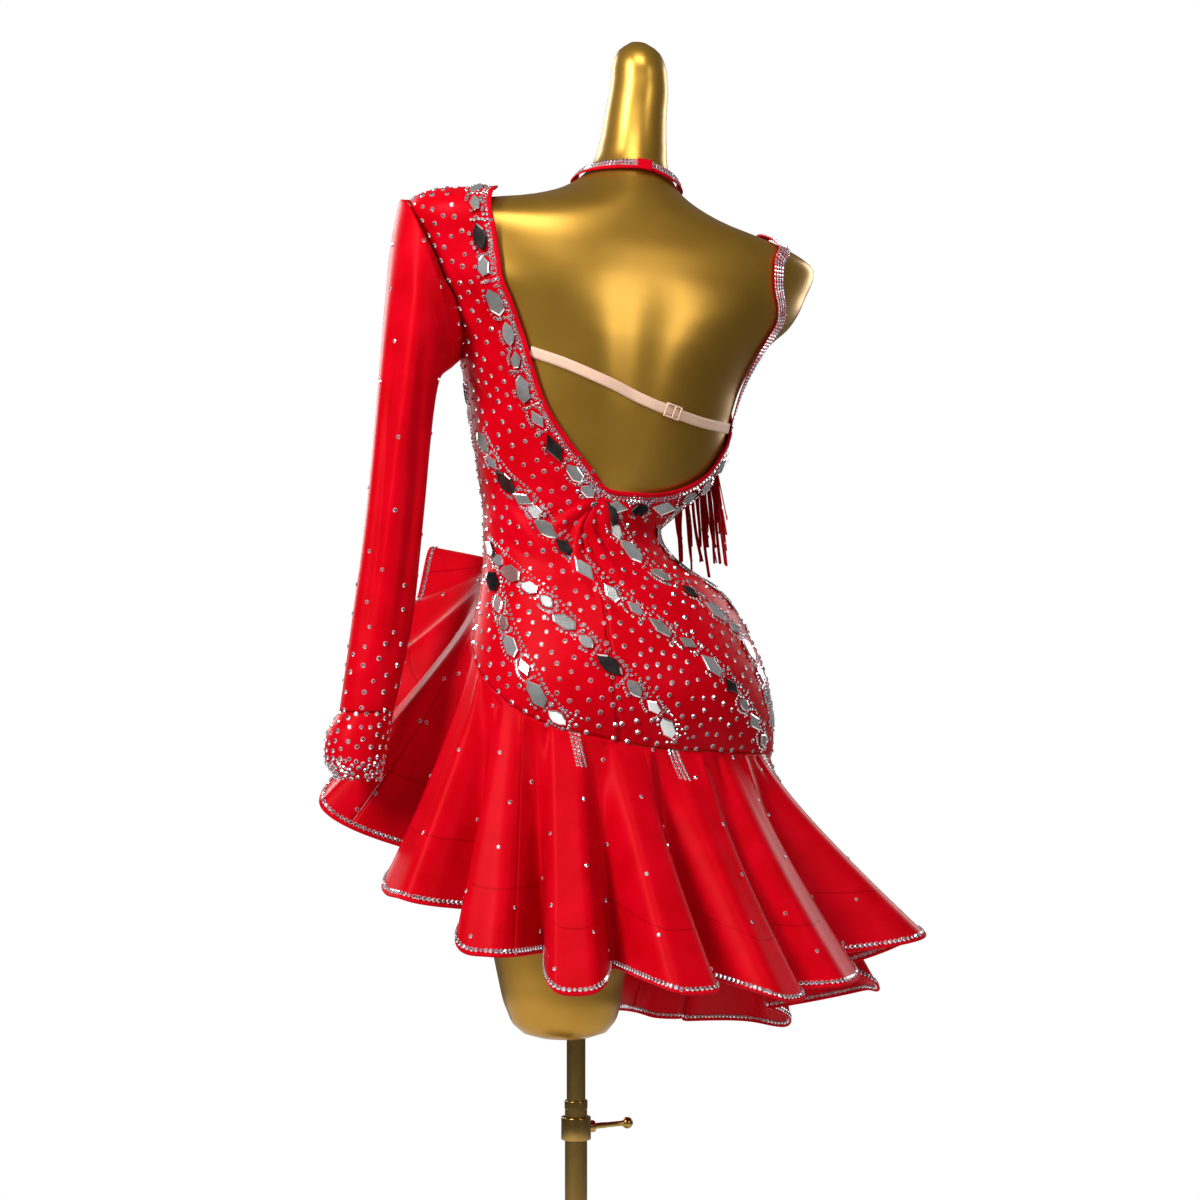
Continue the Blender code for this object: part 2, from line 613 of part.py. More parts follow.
def make_bodice(collection):
    red = new_material("bodice_satin", RED, 0.4, 0.0)
    side_level = seam_level(LEFT_SIDE)
    left_angle = LEFT_SIDE - 360.0
    back_start = left_angle + SEAM_DEG
    back_side = [(back_start, side_level + SEAM_DROP), (back_start, 1.12), (back_start, 1.20)]
    back_left_edge = [(a - ZIP_HALF_DEG, z) for a, z in CENTRE_BACK]
    scoop_left = [(82.0, 1.1400)] + list(SCOOP_LEFT[1:])
    cloth_panel(
        "back_left_panel", collection, red,
        seam_line(left_angle + SEAM_DEG, 77.0 - ZIP_HALF_DEG, drop=SEAM_DROP),
        [(SEAM_DEG, SHOULDER_TIP), SCOOP_LEFT[-1]],
        back_side + shifted(ARMHOLE_BACK, SEAM_DEG),
        back_left_edge + scoop_left[1:],
        16, 24,
    )
    scoop_right = [(84.0 + ZIP_HALF_DEG, 1.1375)] + list(SCOOP_RIGHT[1:])
    side_right = [(RIGHT_SIDE, seam_level(RIGHT_SIDE) + SEAM_DROP), (RIGHT_SIDE, 0.93), (RIGHT_SIDE, 0.985)]
    cloth_panel(
        "back_right_panel", collection, red,
        seam_line(77.0 + ZIP_HALF_DEG, RIGHT_SIDE, drop=SEAM_DROP),
        scoop_right,
        [(a + ZIP_HALF_DEG, z) for a, z in CENTRE_BACK],
        side_right + list(CUT_OUT_BACK) + [(166.0, 1.216)],
        12, 24,
    )
    lower_start = [(RIGHT_SIDE + 2 * SEAM_DEG, seam_level(RIGHT_SIDE) + SEAM_DROP), (RIGHT_SIDE + 2 * SEAM_DEG, 0.93)]
    cloth_panel(
        "front_right_hip", collection, red,
        seam_line(RIGHT_SIDE + 2 * SEAM_DEG, PRINCESS - SEAM_DEG, drop=SEAM_DROP),
        [(RIGHT_SIDE + 2 * SEAM_DEG, 0.998)] + list(CUT_OUT_LOW[1:-1]) + [(PRINCESS - SEAM_DEG, CUT_OUT_LOW[-1][1])],
        lower_start + [(RIGHT_SIDE + 2 * SEAM_DEG, 0.998)],
        [(PRINCESS - SEAM_DEG, seam_level(PRINCESS) + SEAM_DROP), (PRINCESS - SEAM_DEG, CUT_OUT_LOW[-1][1])],
        10, 8,
    )
    cloth_panel(
        "right_cup", collection, red,
        [(166.6, 1.1645)] + list(CUT_OUT_HIGH[1:-1]) + [(PRINCESS - SEAM_DEG, CUT_OUT_HIGH[-1][1])],
        [(167.0, 1.2175)] + list(CUP_TOP[1:-1]) + [(PRINCESS - SEAM_DEG, CUP_TOP[-1][1])],
        [(166.6, 1.1645), (167.0, 1.2175)],
        [(PRINCESS - SEAM_DEG, CUT_OUT_HIGH[-1][1]), (PRINCESS - SEAM_DEG, CUP_TOP[-1][1])],
        10, 8,
    )
    front_edge = [
        (PRINCESS + SEAM_DEG, seam_level(PRINCESS) + SEAM_DROP),
        (PRINCESS + SEAM_DEG, CUT_OUT_LOW[-1][1]),
        (PRINCESS + 4.0, 1.082),
        (PRINCESS + SEAM_DEG, CUT_OUT_HIGH[-1][1]),
        (PRINCESS + SEAM_DEG, CUP_TOP[-1][1] - 0.03),
        (PRINCESS + SEAM_DEG, CUP_TOP[-1][1]),
    ]
    front_end = LEFT_SIDE - SEAM_DEG
    front_side = [(front_end, side_level + SEAM_DROP), (front_end, 1.12), (front_end, 1.20)]
    armhole = [(a + 360.0 - SEAM_DEG, z) for a, z in ARMHOLE_FRONT]
    cloth_panel(
        "front_panel", collection, red,
        seam_line(PRINCESS + SEAM_DEG, LEFT_SIDE - SEAM_DEG, drop=SEAM_DROP),
        [NECKLINE[-1], (360.0 - SEAM_DEG, SHOULDER_TIP)],
        front_edge + list(NECKLINE[1:]),
        front_side + armhole,
        20, 28,
    )


def make_zip(collection):
    red = new_material("zip_satin", RED, 0.45, 0.0)
    rows = list(CENTRE_BACK)

    def place(across, up):
        angle, level = Route(rows).at(up * ZIP_TOP)
        turn = (across - 0.5) * 2 * (ZIP_HALF_DEG - ZIP_GAP_DEG)
        return skin(angle + turn, level + (0.0011 if up == 0.0 else 0.0), CLEARANCE)

    bm = lattice(1, 18, place)
    return wall(mesh_object("back_zip", bm, collection, red), WALL)


def armhole_point(turn):
    """Point of the sleeve head on the armhole; turn runs from the shoulder, back first."""
    back = [(2.5, 1.4005)] + [(a, z) for a, z in reversed(ARMHOLE_BACK[1:-1])] + [(0.0, 1.264)]
    front = [(-2.5, 1.4005)] + [(a, z) for a, z in reversed(ARMHOLE_FRONT[1:-1])] + [(0.0, 1.264)]
    share = turn / math.pi
    if share <= 1.0:
        angle, level = Route([(0.0, 1.402)] + back[1:]).at(share)
        inset = -1.6 * math.sin(math.pi * min(share, 1.0))
    else:
        angle, level = Route([(0.0, 1.402)] + front[1:]).at(2.0 - share)
        inset = 1.6 * math.sin(math.pi * min(2.0 - share, 1.0))
    return cloth_skin(angle + inset, level, CLEARANCE + 2 * WALL + SLEEVE_LAP)


def ring_point(ring, turn):
    outer_x, outer_z, inner_x, inner_z, centre_y, depth = ring
    cosine = math.cos(turn)
    x = (outer_x + inner_x) / 2 + (outer_x - inner_x) / 2 * cosine
    z = (outer_z + inner_z) / 2 + (outer_z - inner_z) / 2 * cosine
    return Vector((x, centre_y + depth * math.sin(turn), z))


def make_sleeve(collection):
    red = new_material("sleeve_satin", RED, 0.4, 0.0)
    rows = len(SLEEVE_RINGS)

    def place(across, up):
        turn = across * 2 * math.pi
        ring = round(up * rows)
        if ring == 0:
            return armhole_point(turn)
        return ring_point(SLEEVE_RINGS[ring - 1], turn)

    bm = lattice(SLEEVE_SEGMENTS, rows, place, closed=True)
    wall(mesh_object("sleeve_left", bm, collection, red), WALL, outward=False)
    cuff_rows = len(CUFF_RINGS) - 1

    def place_cuff(across, up):
        return ring_point(CUFF_RINGS[round(up * cuff_rows)], across * 2 * math.pi)

    bm = lattice(SLEEVE_SEGMENTS, cuff_rows, place_cuff, closed=True)
    wall(mesh_object("sleeve_cuff", bm, collection, red), WALL, outward=False)


def fold_at(count):
    """Seam angle and hem point of the flounce at a fold number; halves are the valleys."""
    whole = math.floor(count)
    here = FOLDS[whole % len(FOLDS)]
    after = FOLDS[(whole + 1) % len(FOLDS)]
    lap = 360.0 * (whole // len(FOLDS))
    lap_after = 360.0 * ((whole + 1) // len(FOLDS))
    share = count - whole
    seam = here[0] + lap + (after[0] + lap_after - here[0] - lap) * share
    ridge = (here[1] + lap, here[2], here[3])
    valley = (here[4] + lap, here[5], here[6])
    after_ridge = (after[1] + lap_after, after[2], after[3])
    if share <= 0.5:
        start, end, way = ridge, valley, share * 2
    else:
        start, end, way = after_ridge, valley, (1 - share) * 2
    turn = start[0] + (end[0] - start[0]) * way ** RIDGE_SPREAD
    ease = 0.5 - 0.5 * math.cos(math.pi * way)
    deep = ease ** RIDGE_FULLNESS
    radius = start[1] + (end[1] - start[1]) * deep
    height = start[2] + (end[2] - start[2]) * ease
    angle = math.radians(turn)
    return seam, Vector((radius * math.cos(angle), radius * math.sin(angle), height))


def flounce_point(count, down):
    """Point of the flounce, down running from 0 at the seam to 1 at the hem."""
    seam, hem = fold_at(count)
    start = skin(seam, seam_level(seam) - SEAM_DROP, CLEARANCE + WALL)
    ease = down ** 1.12
    drop = down ** 0.96
    point = start.lerp(hem, ease)
    point.z = start.z + (hem.z - start.z) * drop
    return point


def make_flounce(collection):
    red = new_material("flounce_satin", RED, 0.4, 0.0)
    godets = len(FOLDS) // FOLDS_PER_GODET
    for number in range(godets):
        first = number * FOLDS_PER_GODET

        def place(across, up):
            trimmed = FLOUNCE_GAP + across * (FOLDS_PER_GODET - 2 * FLOUNCE_GAP)
            return flounce_point(first + GODET_SEAM + trimmed, 1.0 - up)

        bm = lattice(FOLD_STEPS * FOLDS_PER_GODET, FLOUNCE_ROWS, place)
        wall(mesh_object(f"flounce_godet_{number + 1}", bm, collection, red), WALL, outward=False)


def make_trims(collection):
    stones = new_material("stone_trim", (0.75, 0.72, 0.74, 1.0), 0.15, 0.8)
    red = new_material("binding_red", RED, 0.5, 0.0)
    nude = new_material("elastic_nude", (0.78, 0.5, 0.33, 1.0), 0.7, 0.0)
    scoop = list(reversed(SCOOP_LEFT)) + list(SCOOP_RIGHT[1:-1]) + [(164.5, 1.212)]
    ribbon("scoop_binding", collection, red, scoop, BINDING_WIDTH, TRIM_LIFT, TRIM_WALL, 60, -BINDING_INSET)
    cut_out = list(CUT_OUT_BACK)
    ribbon("cut_out_binding", collection, red, cut_out, BINDING_WIDTH, CUT_OUT_LIFT, TRIM_WALL, 18, BINDING_INSET)
    ribbon("shoulder_strap", collection, stones, SHOULDER_STRAP, STRAP_WIDTH, CLEARANCE, WALL, 40)
    ribbon("elastic_strap", collection, nude, ELASTIC, ELASTIC_WIDTH, ELASTIC_LIFT, ELASTIC_WALL, 26)
    slider_lift = ELASTIC_LIFT + ELASTIC_WALL + 0.0008
    ribbon("elastic_slider", collection, nude, SLIDER, SLIDER_WIDTH, slider_lift, 0.0014, 4)
    ribbon(
        "neckband", collection, stones, NECKBAND, NECKBAND_WIDTH, NECKBAND_LIFT, WALL, 40, closed=True
    )
    tab_lift = NECKBAND_LIFT + WALL + 0.0008
    ribbon("neckband_tab", collection, red, NECK_TAB, NECK_TAB_WIDTH, tab_lift, 0.0015, 4)


def make_fringe(collection):
    red = new_material("fringe_red", RED, 0.45, 0.0)
    first, last = FRINGE_ANGLES
    edge = Route(CUT_OUT_HIGH)

    def place(across, up):
        angle = first + (last - first) * across
        top_level = edge.at((angle - 163.5) / (PRINCESS - 163.5))[1] - 0.002
        top = skin(angle, top_level, FRINGE_LIFT)
        fall = 1.0 - up
        lean = Vector((top.x + 0.023, top.y, 0.0)).normalized() * FRINGE_LEAN * fall
        return top + lean - Vector((0.0, 0.0, FRINGE_LENGTH * fall))

    bm = lattice(12, 2, place)
    wall(mesh_object("fringe", bm, collection, red), FRINGE_WALL)


def build():
    clear_scene()
    parts = new_collection(OBJECT_NAME)
    cutters = new_collection("cutters")
    make_base(parts)
    make_socket(parts)
    make_tubes(parts, cutters)
    make_clamp(parts, cutters)
    make_screw(parts)
    make_form(parts)
    make_bodice(parts)
    make_zip(parts)
    make_sleeve(parts)
    make_flounce(parts)
    make_trims(parts)
    make_fringe(parts)


build()
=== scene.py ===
"""Salsa dance dress on its dress form: fine cloth, stones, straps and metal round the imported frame.

Metres, +Z up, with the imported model's frame: the front of the dress faces -Y and the sleeved
side, the wearer's left, is +X. Angles run anticlockwise round the form from the wearer's left.
"""

import itertools
import json
import math
import random

import bmesh
import bpy
import numpy as np
from mathutils import Matrix, Vector


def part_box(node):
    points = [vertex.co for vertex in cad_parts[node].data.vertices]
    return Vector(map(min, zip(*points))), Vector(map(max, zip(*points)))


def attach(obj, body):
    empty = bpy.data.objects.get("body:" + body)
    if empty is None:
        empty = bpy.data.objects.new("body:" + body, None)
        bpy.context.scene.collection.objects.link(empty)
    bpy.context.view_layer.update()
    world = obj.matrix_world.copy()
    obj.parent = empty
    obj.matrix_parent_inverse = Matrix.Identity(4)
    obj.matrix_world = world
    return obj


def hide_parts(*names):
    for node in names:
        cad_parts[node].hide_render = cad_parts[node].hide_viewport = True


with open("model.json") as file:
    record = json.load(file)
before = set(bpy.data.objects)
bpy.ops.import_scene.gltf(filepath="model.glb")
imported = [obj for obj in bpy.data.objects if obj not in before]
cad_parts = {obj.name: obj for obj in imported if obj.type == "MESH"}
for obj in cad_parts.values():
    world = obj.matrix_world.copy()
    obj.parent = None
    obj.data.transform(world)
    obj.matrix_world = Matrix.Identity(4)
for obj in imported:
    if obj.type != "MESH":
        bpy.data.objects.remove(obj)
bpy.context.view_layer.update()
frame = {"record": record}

STAND = "stand"
DRESS = "mannequin"
SCREW = "screw"

# Form: sections from the foot of the form to the top of its neck post.
# Columns: level, centre x, half width, front y, back y, roll in degrees (left side up)
FORM_SECTIONS = (
    (0.560, +0.012, 0.0280, -0.026, +0.026, 0.0),
    (0.563, +0.012, 0.0400, -0.034, +0.034, 0.0),
    (0.570, +0.013, 0.0500, -0.041, +0.041, 0.0),
    (0.590, +0.014, 0.0610, -0.050, +0.050, 0.0),
    (0.620, +0.016, 0.0675, -0.055, +0.055, 0.0),
    (0.670, +0.016, 0.0785, -0.062, +0.060, 0.0),
    (0.720, +0.004, 0.0940, -0.070, +0.066, 0.0),
    (0.760, -0.014, 0.1150, -0.077, +0.073, -1.0),
    (0.800, -0.036, 0.1380, -0.083, +0.083, -2.0),
    (0.845, -0.052, 0.1580, -0.088, +0.098, -2.5),
    (0.890, -0.047, 0.1615, -0.091, +0.116, -3.0),
    (0.930, -0.041, 0.1590, -0.094, +0.124, -3.0),
    (0.980, -0.035, 0.1460, -0.096, +0.114, -2.0),
    (1.025, -0.027, 0.1275, -0.094, +0.092, -1.5),
    (1.060, -0.008, 0.1010, -0.090, +0.074, -0.5),
    (1.080, -0.001, 0.0925, -0.088, +0.068, 0.0),
    (1.097, +0.001, 0.0910, -0.088, +0.066, 0.5),
    (1.115, -0.007, 0.0990, -0.091, +0.067, 1.5),
    (1.150, -0.023, 0.1205, -0.099, +0.072, 3.0),
    (1.190, -0.031, 0.1340, -0.110, +0.081, 4.0),
    (1.230, -0.033, 0.1420, -0.120, +0.090, 5.0),
    (1.262, -0.034, 0.1505, -0.119, +0.095, 5.5),
    (1.281, -0.035, 0.1580, -0.115, +0.097, 6.0),
    (1.300, -0.036, 0.1690, -0.110, +0.098, 6.0),
    (1.319, -0.038, 0.1830, -0.106, +0.098, 6.2),
    (1.337, -0.040, 0.1990, -0.102, +0.097, 6.5),
    (1.355, -0.043, 0.2080, -0.098, +0.095, 6.5),
    (1.372, -0.044, 0.2145, -0.094, +0.092, 6.5),
    (1.395, -0.048, 0.2205, -0.088, +0.087, 6.5),
    (1.408, -0.052, 0.2130, -0.084, +0.083, 6.5),
    (1.422, -0.056, 0.1730, -0.078, +0.078, 6.5),
    (1.434, -0.054, 0.1175, -0.072, +0.073, 6.5),
    (1.446, -0.055, 0.0815, -0.065, +0.067, 6.5),
    (1.458, -0.056, 0.0600, -0.058, +0.060, 6.5),
    (1.470, -0.058, 0.0480, -0.050, +0.053, 6.0),
    (1.484, -0.060, 0.0400, -0.042, +0.046, 5.5),
    (1.505, -0.063, 0.0360, -0.037, +0.040, 5.0),
    (1.540, -0.067, 0.0325, -0.034, +0.034, 5.0),
    (1.575, -0.071, 0.0303, -0.032, +0.031, 5.0),
    (1.597, -0.071, 0.0268, -0.028, +0.027, 5.0),
    (1.610, -0.071, 0.0186, -0.019, +0.018, 5.0),
    (1.616, -0.070, 0.0090, -0.010, +0.009, 5.0),
)

# Soft relief of the form. Columns: angle, level, half spread in degrees, half height, rise
FORM_RELIEF = (
    (90.0, 1.270, 9.0, 0.110, -0.0045),
    (62.0, 1.335, 17.0, 0.055, +0.0040),
    (118.0, 1.325, 17.0, 0.055, +0.0040),
    (244.0, 1.235, 21.0, 0.048, +0.0090),
    (296.0, 1.235, 21.0, 0.048, +0.0090),
    (270.0, 1.230, 9.0, 0.060, -0.0040),
    (70.0, 0.925, 20.0, 0.060, +0.0040),
    (112.0, 0.920, 20.0, 0.060, +0.0040),
)

# Raised left shoulder. Columns: angle, level, half spread in degrees, half height, rise
SHOULDER_PAD = (0.0, 1.408, 75.0, 0.021, 0.011)

# Line where the flounce joins the bodice. Columns: angle, level
FLOUNCE_SEAM = (
    (-50.0, 1.064), (-30.0, 1.050), (-14.0, 1.022), (0.0, 0.978), (12.0, 0.956), (24.0, 0.937),
    (45.0, 0.908), (72.0, 0.885), (88.0, 0.873), (112.0, 0.864), (145.0, 0.854), (167.0, 0.847),
    (190.0, 0.851), (215.0, 0.871), (240.0, 0.907), (265.0, 0.953), (287.0, 1.005), (300.0, 1.042),
    (310.0, 1.064),
)

# Centre-back seam, from the flounce up to the scoop
CENTRE_BACK = ((77.0, 0.8808), (76.0, 0.930), (76.0, 0.980), (79.0, 1.050), (81.5, 1.095), (84.0, 1.1375))

# Open back, from the centre-back seam to the left shoulder, and on to the right underarm
SCOOP_LEFT = (
    (84.0, 1.1385), (73.0, 1.160), (63.0, 1.182), (52.0, 1.218), (46.0, 1.272), (45.5, 1.326),
    (46.0, 1.378), (42.0, 1.405), (28.0, 1.421), (10.0, 1.427), (0.3, 1.428),
)

SCOOP_RIGHT = ((84.0, 1.1385), (105.0, 1.134), (130.0, 1.143), (146.0, 1.163), (157.0, 1.192), (166.0, 1.216))

SHOULDER_TIP = 1.403

ARMHOLE_BACK = ((0.0, 1.262), (13.0, 1.292), (19.0, 1.330), (15.5, 1.368), (6.0, 1.396), (0.0, SHOULDER_TIP))

ARMHOLE_FRONT = tuple((-angle, level) for angle, level in ARMHOLE_BACK)

# Cut-out at the right of the waist, as the edges of the pieces round it
CUT_OUT_BACK = (
    (166.0, 1.000), (161.0, 1.030), (157.0, 1.060), (156.0, 1.090), (157.0, 1.120), (162.0, 1.155),
)

CUT_OUT_LOW = ((165.5, 1.000), (185.0, 0.988), (210.0, 1.002), (235.0, 1.042))

CUT_OUT_HIGH = ((163.5, 1.164), (185.0, 1.158), (210.0, 1.146), (235.0, 1.122))

CUP_TOP = ((166.0, 1.216), (180.0, 1.238), (197.0, 1.272), (214.0, 1.306), (222.0, 1.312), (235.0, 1.306))

NECKLINE = (
    (235.0, 1.306), (255.0, 1.290), (275.0, 1.287), (298.0, 1.303), (311.0, 1.340), (314.0, 1.380),
    (318.0, 1.405), (332.0, 1.421), (350.0, 1.427), (359.7, 1.428),
)

# Sleeve rings below the armhole. Columns: outer x, outer z, inner x, inner z, centre y, half depth
SLEEVE_RINGS = (
    (0.1905, 1.4370, 0.1370, 1.2660, 0.000, 0.046),
    (0.1995, 1.3920, 0.1500, 1.2560, 0.003, 0.047),
    (0.2065, 1.3350, 0.1570, 1.2400, 0.007, 0.042),
    (0.2130, 1.2750, 0.1625, 1.2130, 0.011, 0.036),
    (0.2195, 1.2100, 0.1670, 1.1750, 0.014, 0.030),
    (0.2270, 1.1400, 0.1720, 1.1200, 0.017, 0.027),
    (0.2350, 1.0750, 0.1775, 1.0650, 0.019, 0.025),
    (0.2445, 1.0100, 0.1845, 1.0050, 0.020, 0.024),
    (0.2530, 0.9500, 0.1960, 0.9500, 0.021, 0.024),
    (0.2590, 0.9080, 0.2055, 0.9080, 0.021, 0.025),
)

CUFF_RINGS = (
    (0.2592, 0.9068, 0.2057, 0.9068, 0.021, 0.025),
    (0.2720, 0.8850, 0.2110, 0.8830, 0.021, 0.030),
    (0.2740, 0.8600, 0.2160, 0.8580, 0.021, 0.032),
    (0.2620, 0.8400, 0.2195, 0.8380, 0.021, 0.026),
)

# Folds of the flounce, anticlockwise from the left front. Columns: seam angle,
# ridge azimuth, radius and height at the hem, valley azimuth, radius and height at the hem
FOLDS = (
    (-50.0, -52.0, 0.190, 1.080, -44.0, 0.194, 1.022),
    (-32.0, -32.0, 0.240, 0.935, -22.0, 0.203, 0.868),
    (-12.0, -13.0, 0.270, 0.812, -5.0, 0.168, 0.760),
    (8.0, 16.0, 0.222, 0.722, 30.0, 0.152, 0.708),
    (33.0, 47.0, 0.224, 0.672, 60.0, 0.150, 0.668),
    (57.0, 72.0, 0.255, 0.640, 85.0, 0.170, 0.655),
    (80.0, 99.0, 0.276, 0.640, 110.0, 0.172, 0.648),
    (102.0, 122.0, 0.288, 0.624, 130.0, 0.262, 0.630),
    (122.0, 140.0, 0.306, 0.634, 154.0, 0.268, 0.652),
    (145.0, 167.0, 0.372, 0.668, 176.0, 0.285, 0.625),
    (168.0, 183.0, 0.352, 0.592, 194.0, 0.248, 0.572),
    (192.0, 205.0, 0.310, 0.540, 217.0, 0.212, 0.552),
    (216.0, 230.0, 0.258, 0.545, 241.0, 0.170, 0.565),
    (240.0, 254.0, 0.238, 0.600, 265.0, 0.158, 0.640),
    (263.0, 276.0, 0.226, 0.700, 285.0, 0.152, 0.760),
    (286.0, 294.0, 0.212, 0.840, 300.0, 0.152, 0.940),
)

RIDGE_SPREAD = 0.72

RIDGE_FULLNESS = 1.8

# Straps and trims, as lines on the form. Columns: angle, level
SHOULDER_STRAP = (
    (166.5, 1.222), (163.0, 1.255), (157.0, 1.300), (147.5, 1.340), (138.0, 1.372), (135.0, 1.398),
    (146.0, 1.4165), (178.0, 1.4265), (207.0, 1.4150), (218.0, 1.395), (223.0, 1.360), (223.0, 1.316),
)

ELASTIC = (
    (47.0, 1.268), (60.0, 1.260), (76.0, 1.247), (105.0, 1.224), (125.0, 1.216), (145.0, 1.215),
    (164.0, 1.217),
)

SLIDER = ((105.5, 1.2240), (112.0, 1.2210))

NECKBAND = (
    (0.0, 1.468), (45.0, 1.473), (88.0, 1.476), (132.0, 1.470), (180.0, 1.463), (225.0, 1.457),
    (270.0, 1.453), (315.0, 1.460), (360.0, 1.468),
)

NECK_TAB = ((80.0, 1.4755), (98.0, 1.4755))

CLEARANCE = 0.0034
CLOTH = 0.0013
SEAM_DEG = 0.12
SEAM_DROP = 0.0004
LEFT_SIDE = 360.0
RIGHT_SIDE = 167.0
PRINCESS = 235.0
ZIP_HALF_DEG = 0.55
SURFACE = CLEARANCE + CLOTH
ROUND = 0.12
HAIR_BAND = 0.070

# Soft troughs and ridges of the bodice. Columns: start angle and level, end angle and level,
# half width, height (a trough is negative)
BODICE_CREASES = (
    (83.0, 1.128, 60.0, 1.088, 0.0045, 0.0034),
    (82.5, 1.120, 66.0, 1.062, 0.0040, -0.0026),
    (82.0, 1.112, 70.0, 1.040, 0.0045, 0.0031),
    (81.5, 1.100, 75.0, 1.020, 0.0036, -0.0023),
    (80.0, 1.090, 77.5, 0.990, 0.0040, 0.0023),
    (79.0, 1.118, 50.0, 1.104, 0.0038, -0.0021),
    (86.0, 1.127, 101.0, 1.094, 0.0045, 0.0034),
    (86.5, 1.118, 98.0, 1.070, 0.0038, -0.0023),
    (85.5, 1.108, 94.0, 1.040, 0.0045, 0.0031),
    (84.0, 1.092, 88.0, 1.015, 0.0038, -0.0021),
    (88.0, 1.124, 112.0, 1.114, 0.0036, 0.0023),
    (90.0, 1.085, 118.0, 1.062, 0.0050, 0.0021),
    (20.0, 1.128, 62.0, 1.066, 0.0060, 0.0016),
    (12.0, 1.104, 58.0, 1.050, 0.0055, -0.0014),
    (8.0, 1.082, 52.0, 1.034, 0.0060, 0.0015),
    (104.0, 1.100, 138.0, 1.064, 0.0050, -0.0012),
    (108.0, 1.050, 150.0, 1.034, 0.0060, 0.0014),
    (14.0, 1.330, 30.0, 1.230, 0.0080, 0.0018),
    (24.0, 1.350, 38.0, 1.270, 0.0060, -0.0014),
    (6.0, 1.250, 26.0, 1.200, 0.0060, -0.0014),
    (346.0, 1.250, 322.0, 1.205, 0.0060, 0.0014),
    (352.0, 1.230, 330.0, 1.165, 0.0055, -0.0014),
    (340.0, 1.140, 290.0, 1.092, 0.0065, 0.0016),
    (350.0, 1.110, 300.0, 1.072, 0.0060, -0.0014),
    (245.0, 1.110, 285.0, 1.088, 0.0060, 0.0015),
    (240.0, 1.060, 275.0, 1.060, 0.0060, -0.0013),
    (238.0, 1.040, 270.0, 1.020, 0.0060, 0.0014),
    (185.0, 0.975, 205.0, 0.900, 0.0080, 0.0012),
    (180.0, 1.190, 215.0, 1.170, 0.0050, 0.0012),
)

# Rows of mirrors on the dress. Columns: angle, level
MIRROR_LINES = {
    "waist_to_hip": (
        (8.0, 1.190), (17.4, 1.162), (27.5, 1.142), (42.0, 1.123), (55.0, 1.102), (65.6, 1.083),
        (72.6, 1.063), (78.2, 1.042), (85.4, 1.019), (93.3, 1.002), (100.3, 0.986), (108.0, 0.973),
        (115.3, 0.951), (123.4, 0.926), (131.0, 0.902), (140.0, 0.878), (147.0, 0.858),
    ),
    "left_to_centre": (
        (2.6, 1.082), (23.6, 1.059), (35.6, 1.044), (48.7, 1.026), (56.3, 1.006), (64.5, 0.987),
        (71.9, 0.967), (79.7, 0.944), (87.8, 0.918), (94.3, 0.892), (99.5, 0.871),
    ),
    "left_hip": (
        (9.9, 1.052), (17.9, 1.034), (24.9, 1.009), (32.9, 0.979), (41.4, 0.952), (48.3, 0.926),
        (56.0, 0.906), (62.5, 0.896),
    ),
    "centre_to_right": (
        (90.0, 1.120), (98.0, 1.108), (107.0, 1.086), (112.0, 1.064), (116.0, 1.046), (121.0, 1.033),
        (126.0, 1.018), (133.0, 1.004), (140.5, 0.989), (146.0, 0.964), (150.0, 0.931),
        (155.0, 0.900), (160.0, 0.872),
    ),
    "front_left": (
        (352.0, 1.240), (338.0, 1.180), (322.0, 1.130), (303.0, 1.090), (285.0, 1.040), (270.0, 0.992),
    ),
    "front_centre": (
        (312.0, 1.300), (296.0, 1.240), (280.0, 1.180), (268.0, 1.120), (258.0, 1.060), (246.0, 0.990),
        (232.0, 0.930), (222.0, 0.895),
    ),
    "front_right": (
        (262.0, 1.272), (252.0, 1.210), (246.0, 1.160), (241.5, 1.125),
    ),
    "right_hip": (
        (228.0, 1.012), (214.0, 0.975), (204.0, 0.935), (196.0, 0.880),
    ),
}

# Tails of small crystals below the mirror rows. Columns: fold number on the flounce, share of the drop
CRYSTAL_TAILS = ((5.16, 0.13), (6.76, 0.12), (9.06, 0.13))

# Bars of the elastic's adjuster. Columns: middle along and across, half length, half width
SLIDER_BARS = (
    (0.0, 0.0064, 0.0098, 0.0009),
    (0.0, -0.0064, 0.0098, 0.0009),
    (-0.0090, 0.0, 0.0009, 0.0062),
    (0.0090, 0.0, 0.0009, 0.0062),
    (0.0015, 0.0, 0.0009, 0.0062),
)
STRANDS = 29
STRAND_WIDTH = 0.0036

# Single stones of the sleeve. Columns: piece, spacing, radius, lowest and highest level
SLEEVE_STONES = (
    ("sleeve_cloth", 0.050, 0.0024, 1.07, 2.0),
    ("sleeve_cloth", 0.028, 0.0024, 0.985, 1.055),
    ("sleeve_cloth", 0.0165, 0.0026, 0.0, 0.978),
    ("cuff_cloth", 0.0105, 0.0026, 0.868, 2.0),
    ("cuff_cloth", 0.0058, 0.0026, 0.0, 0.862),
)

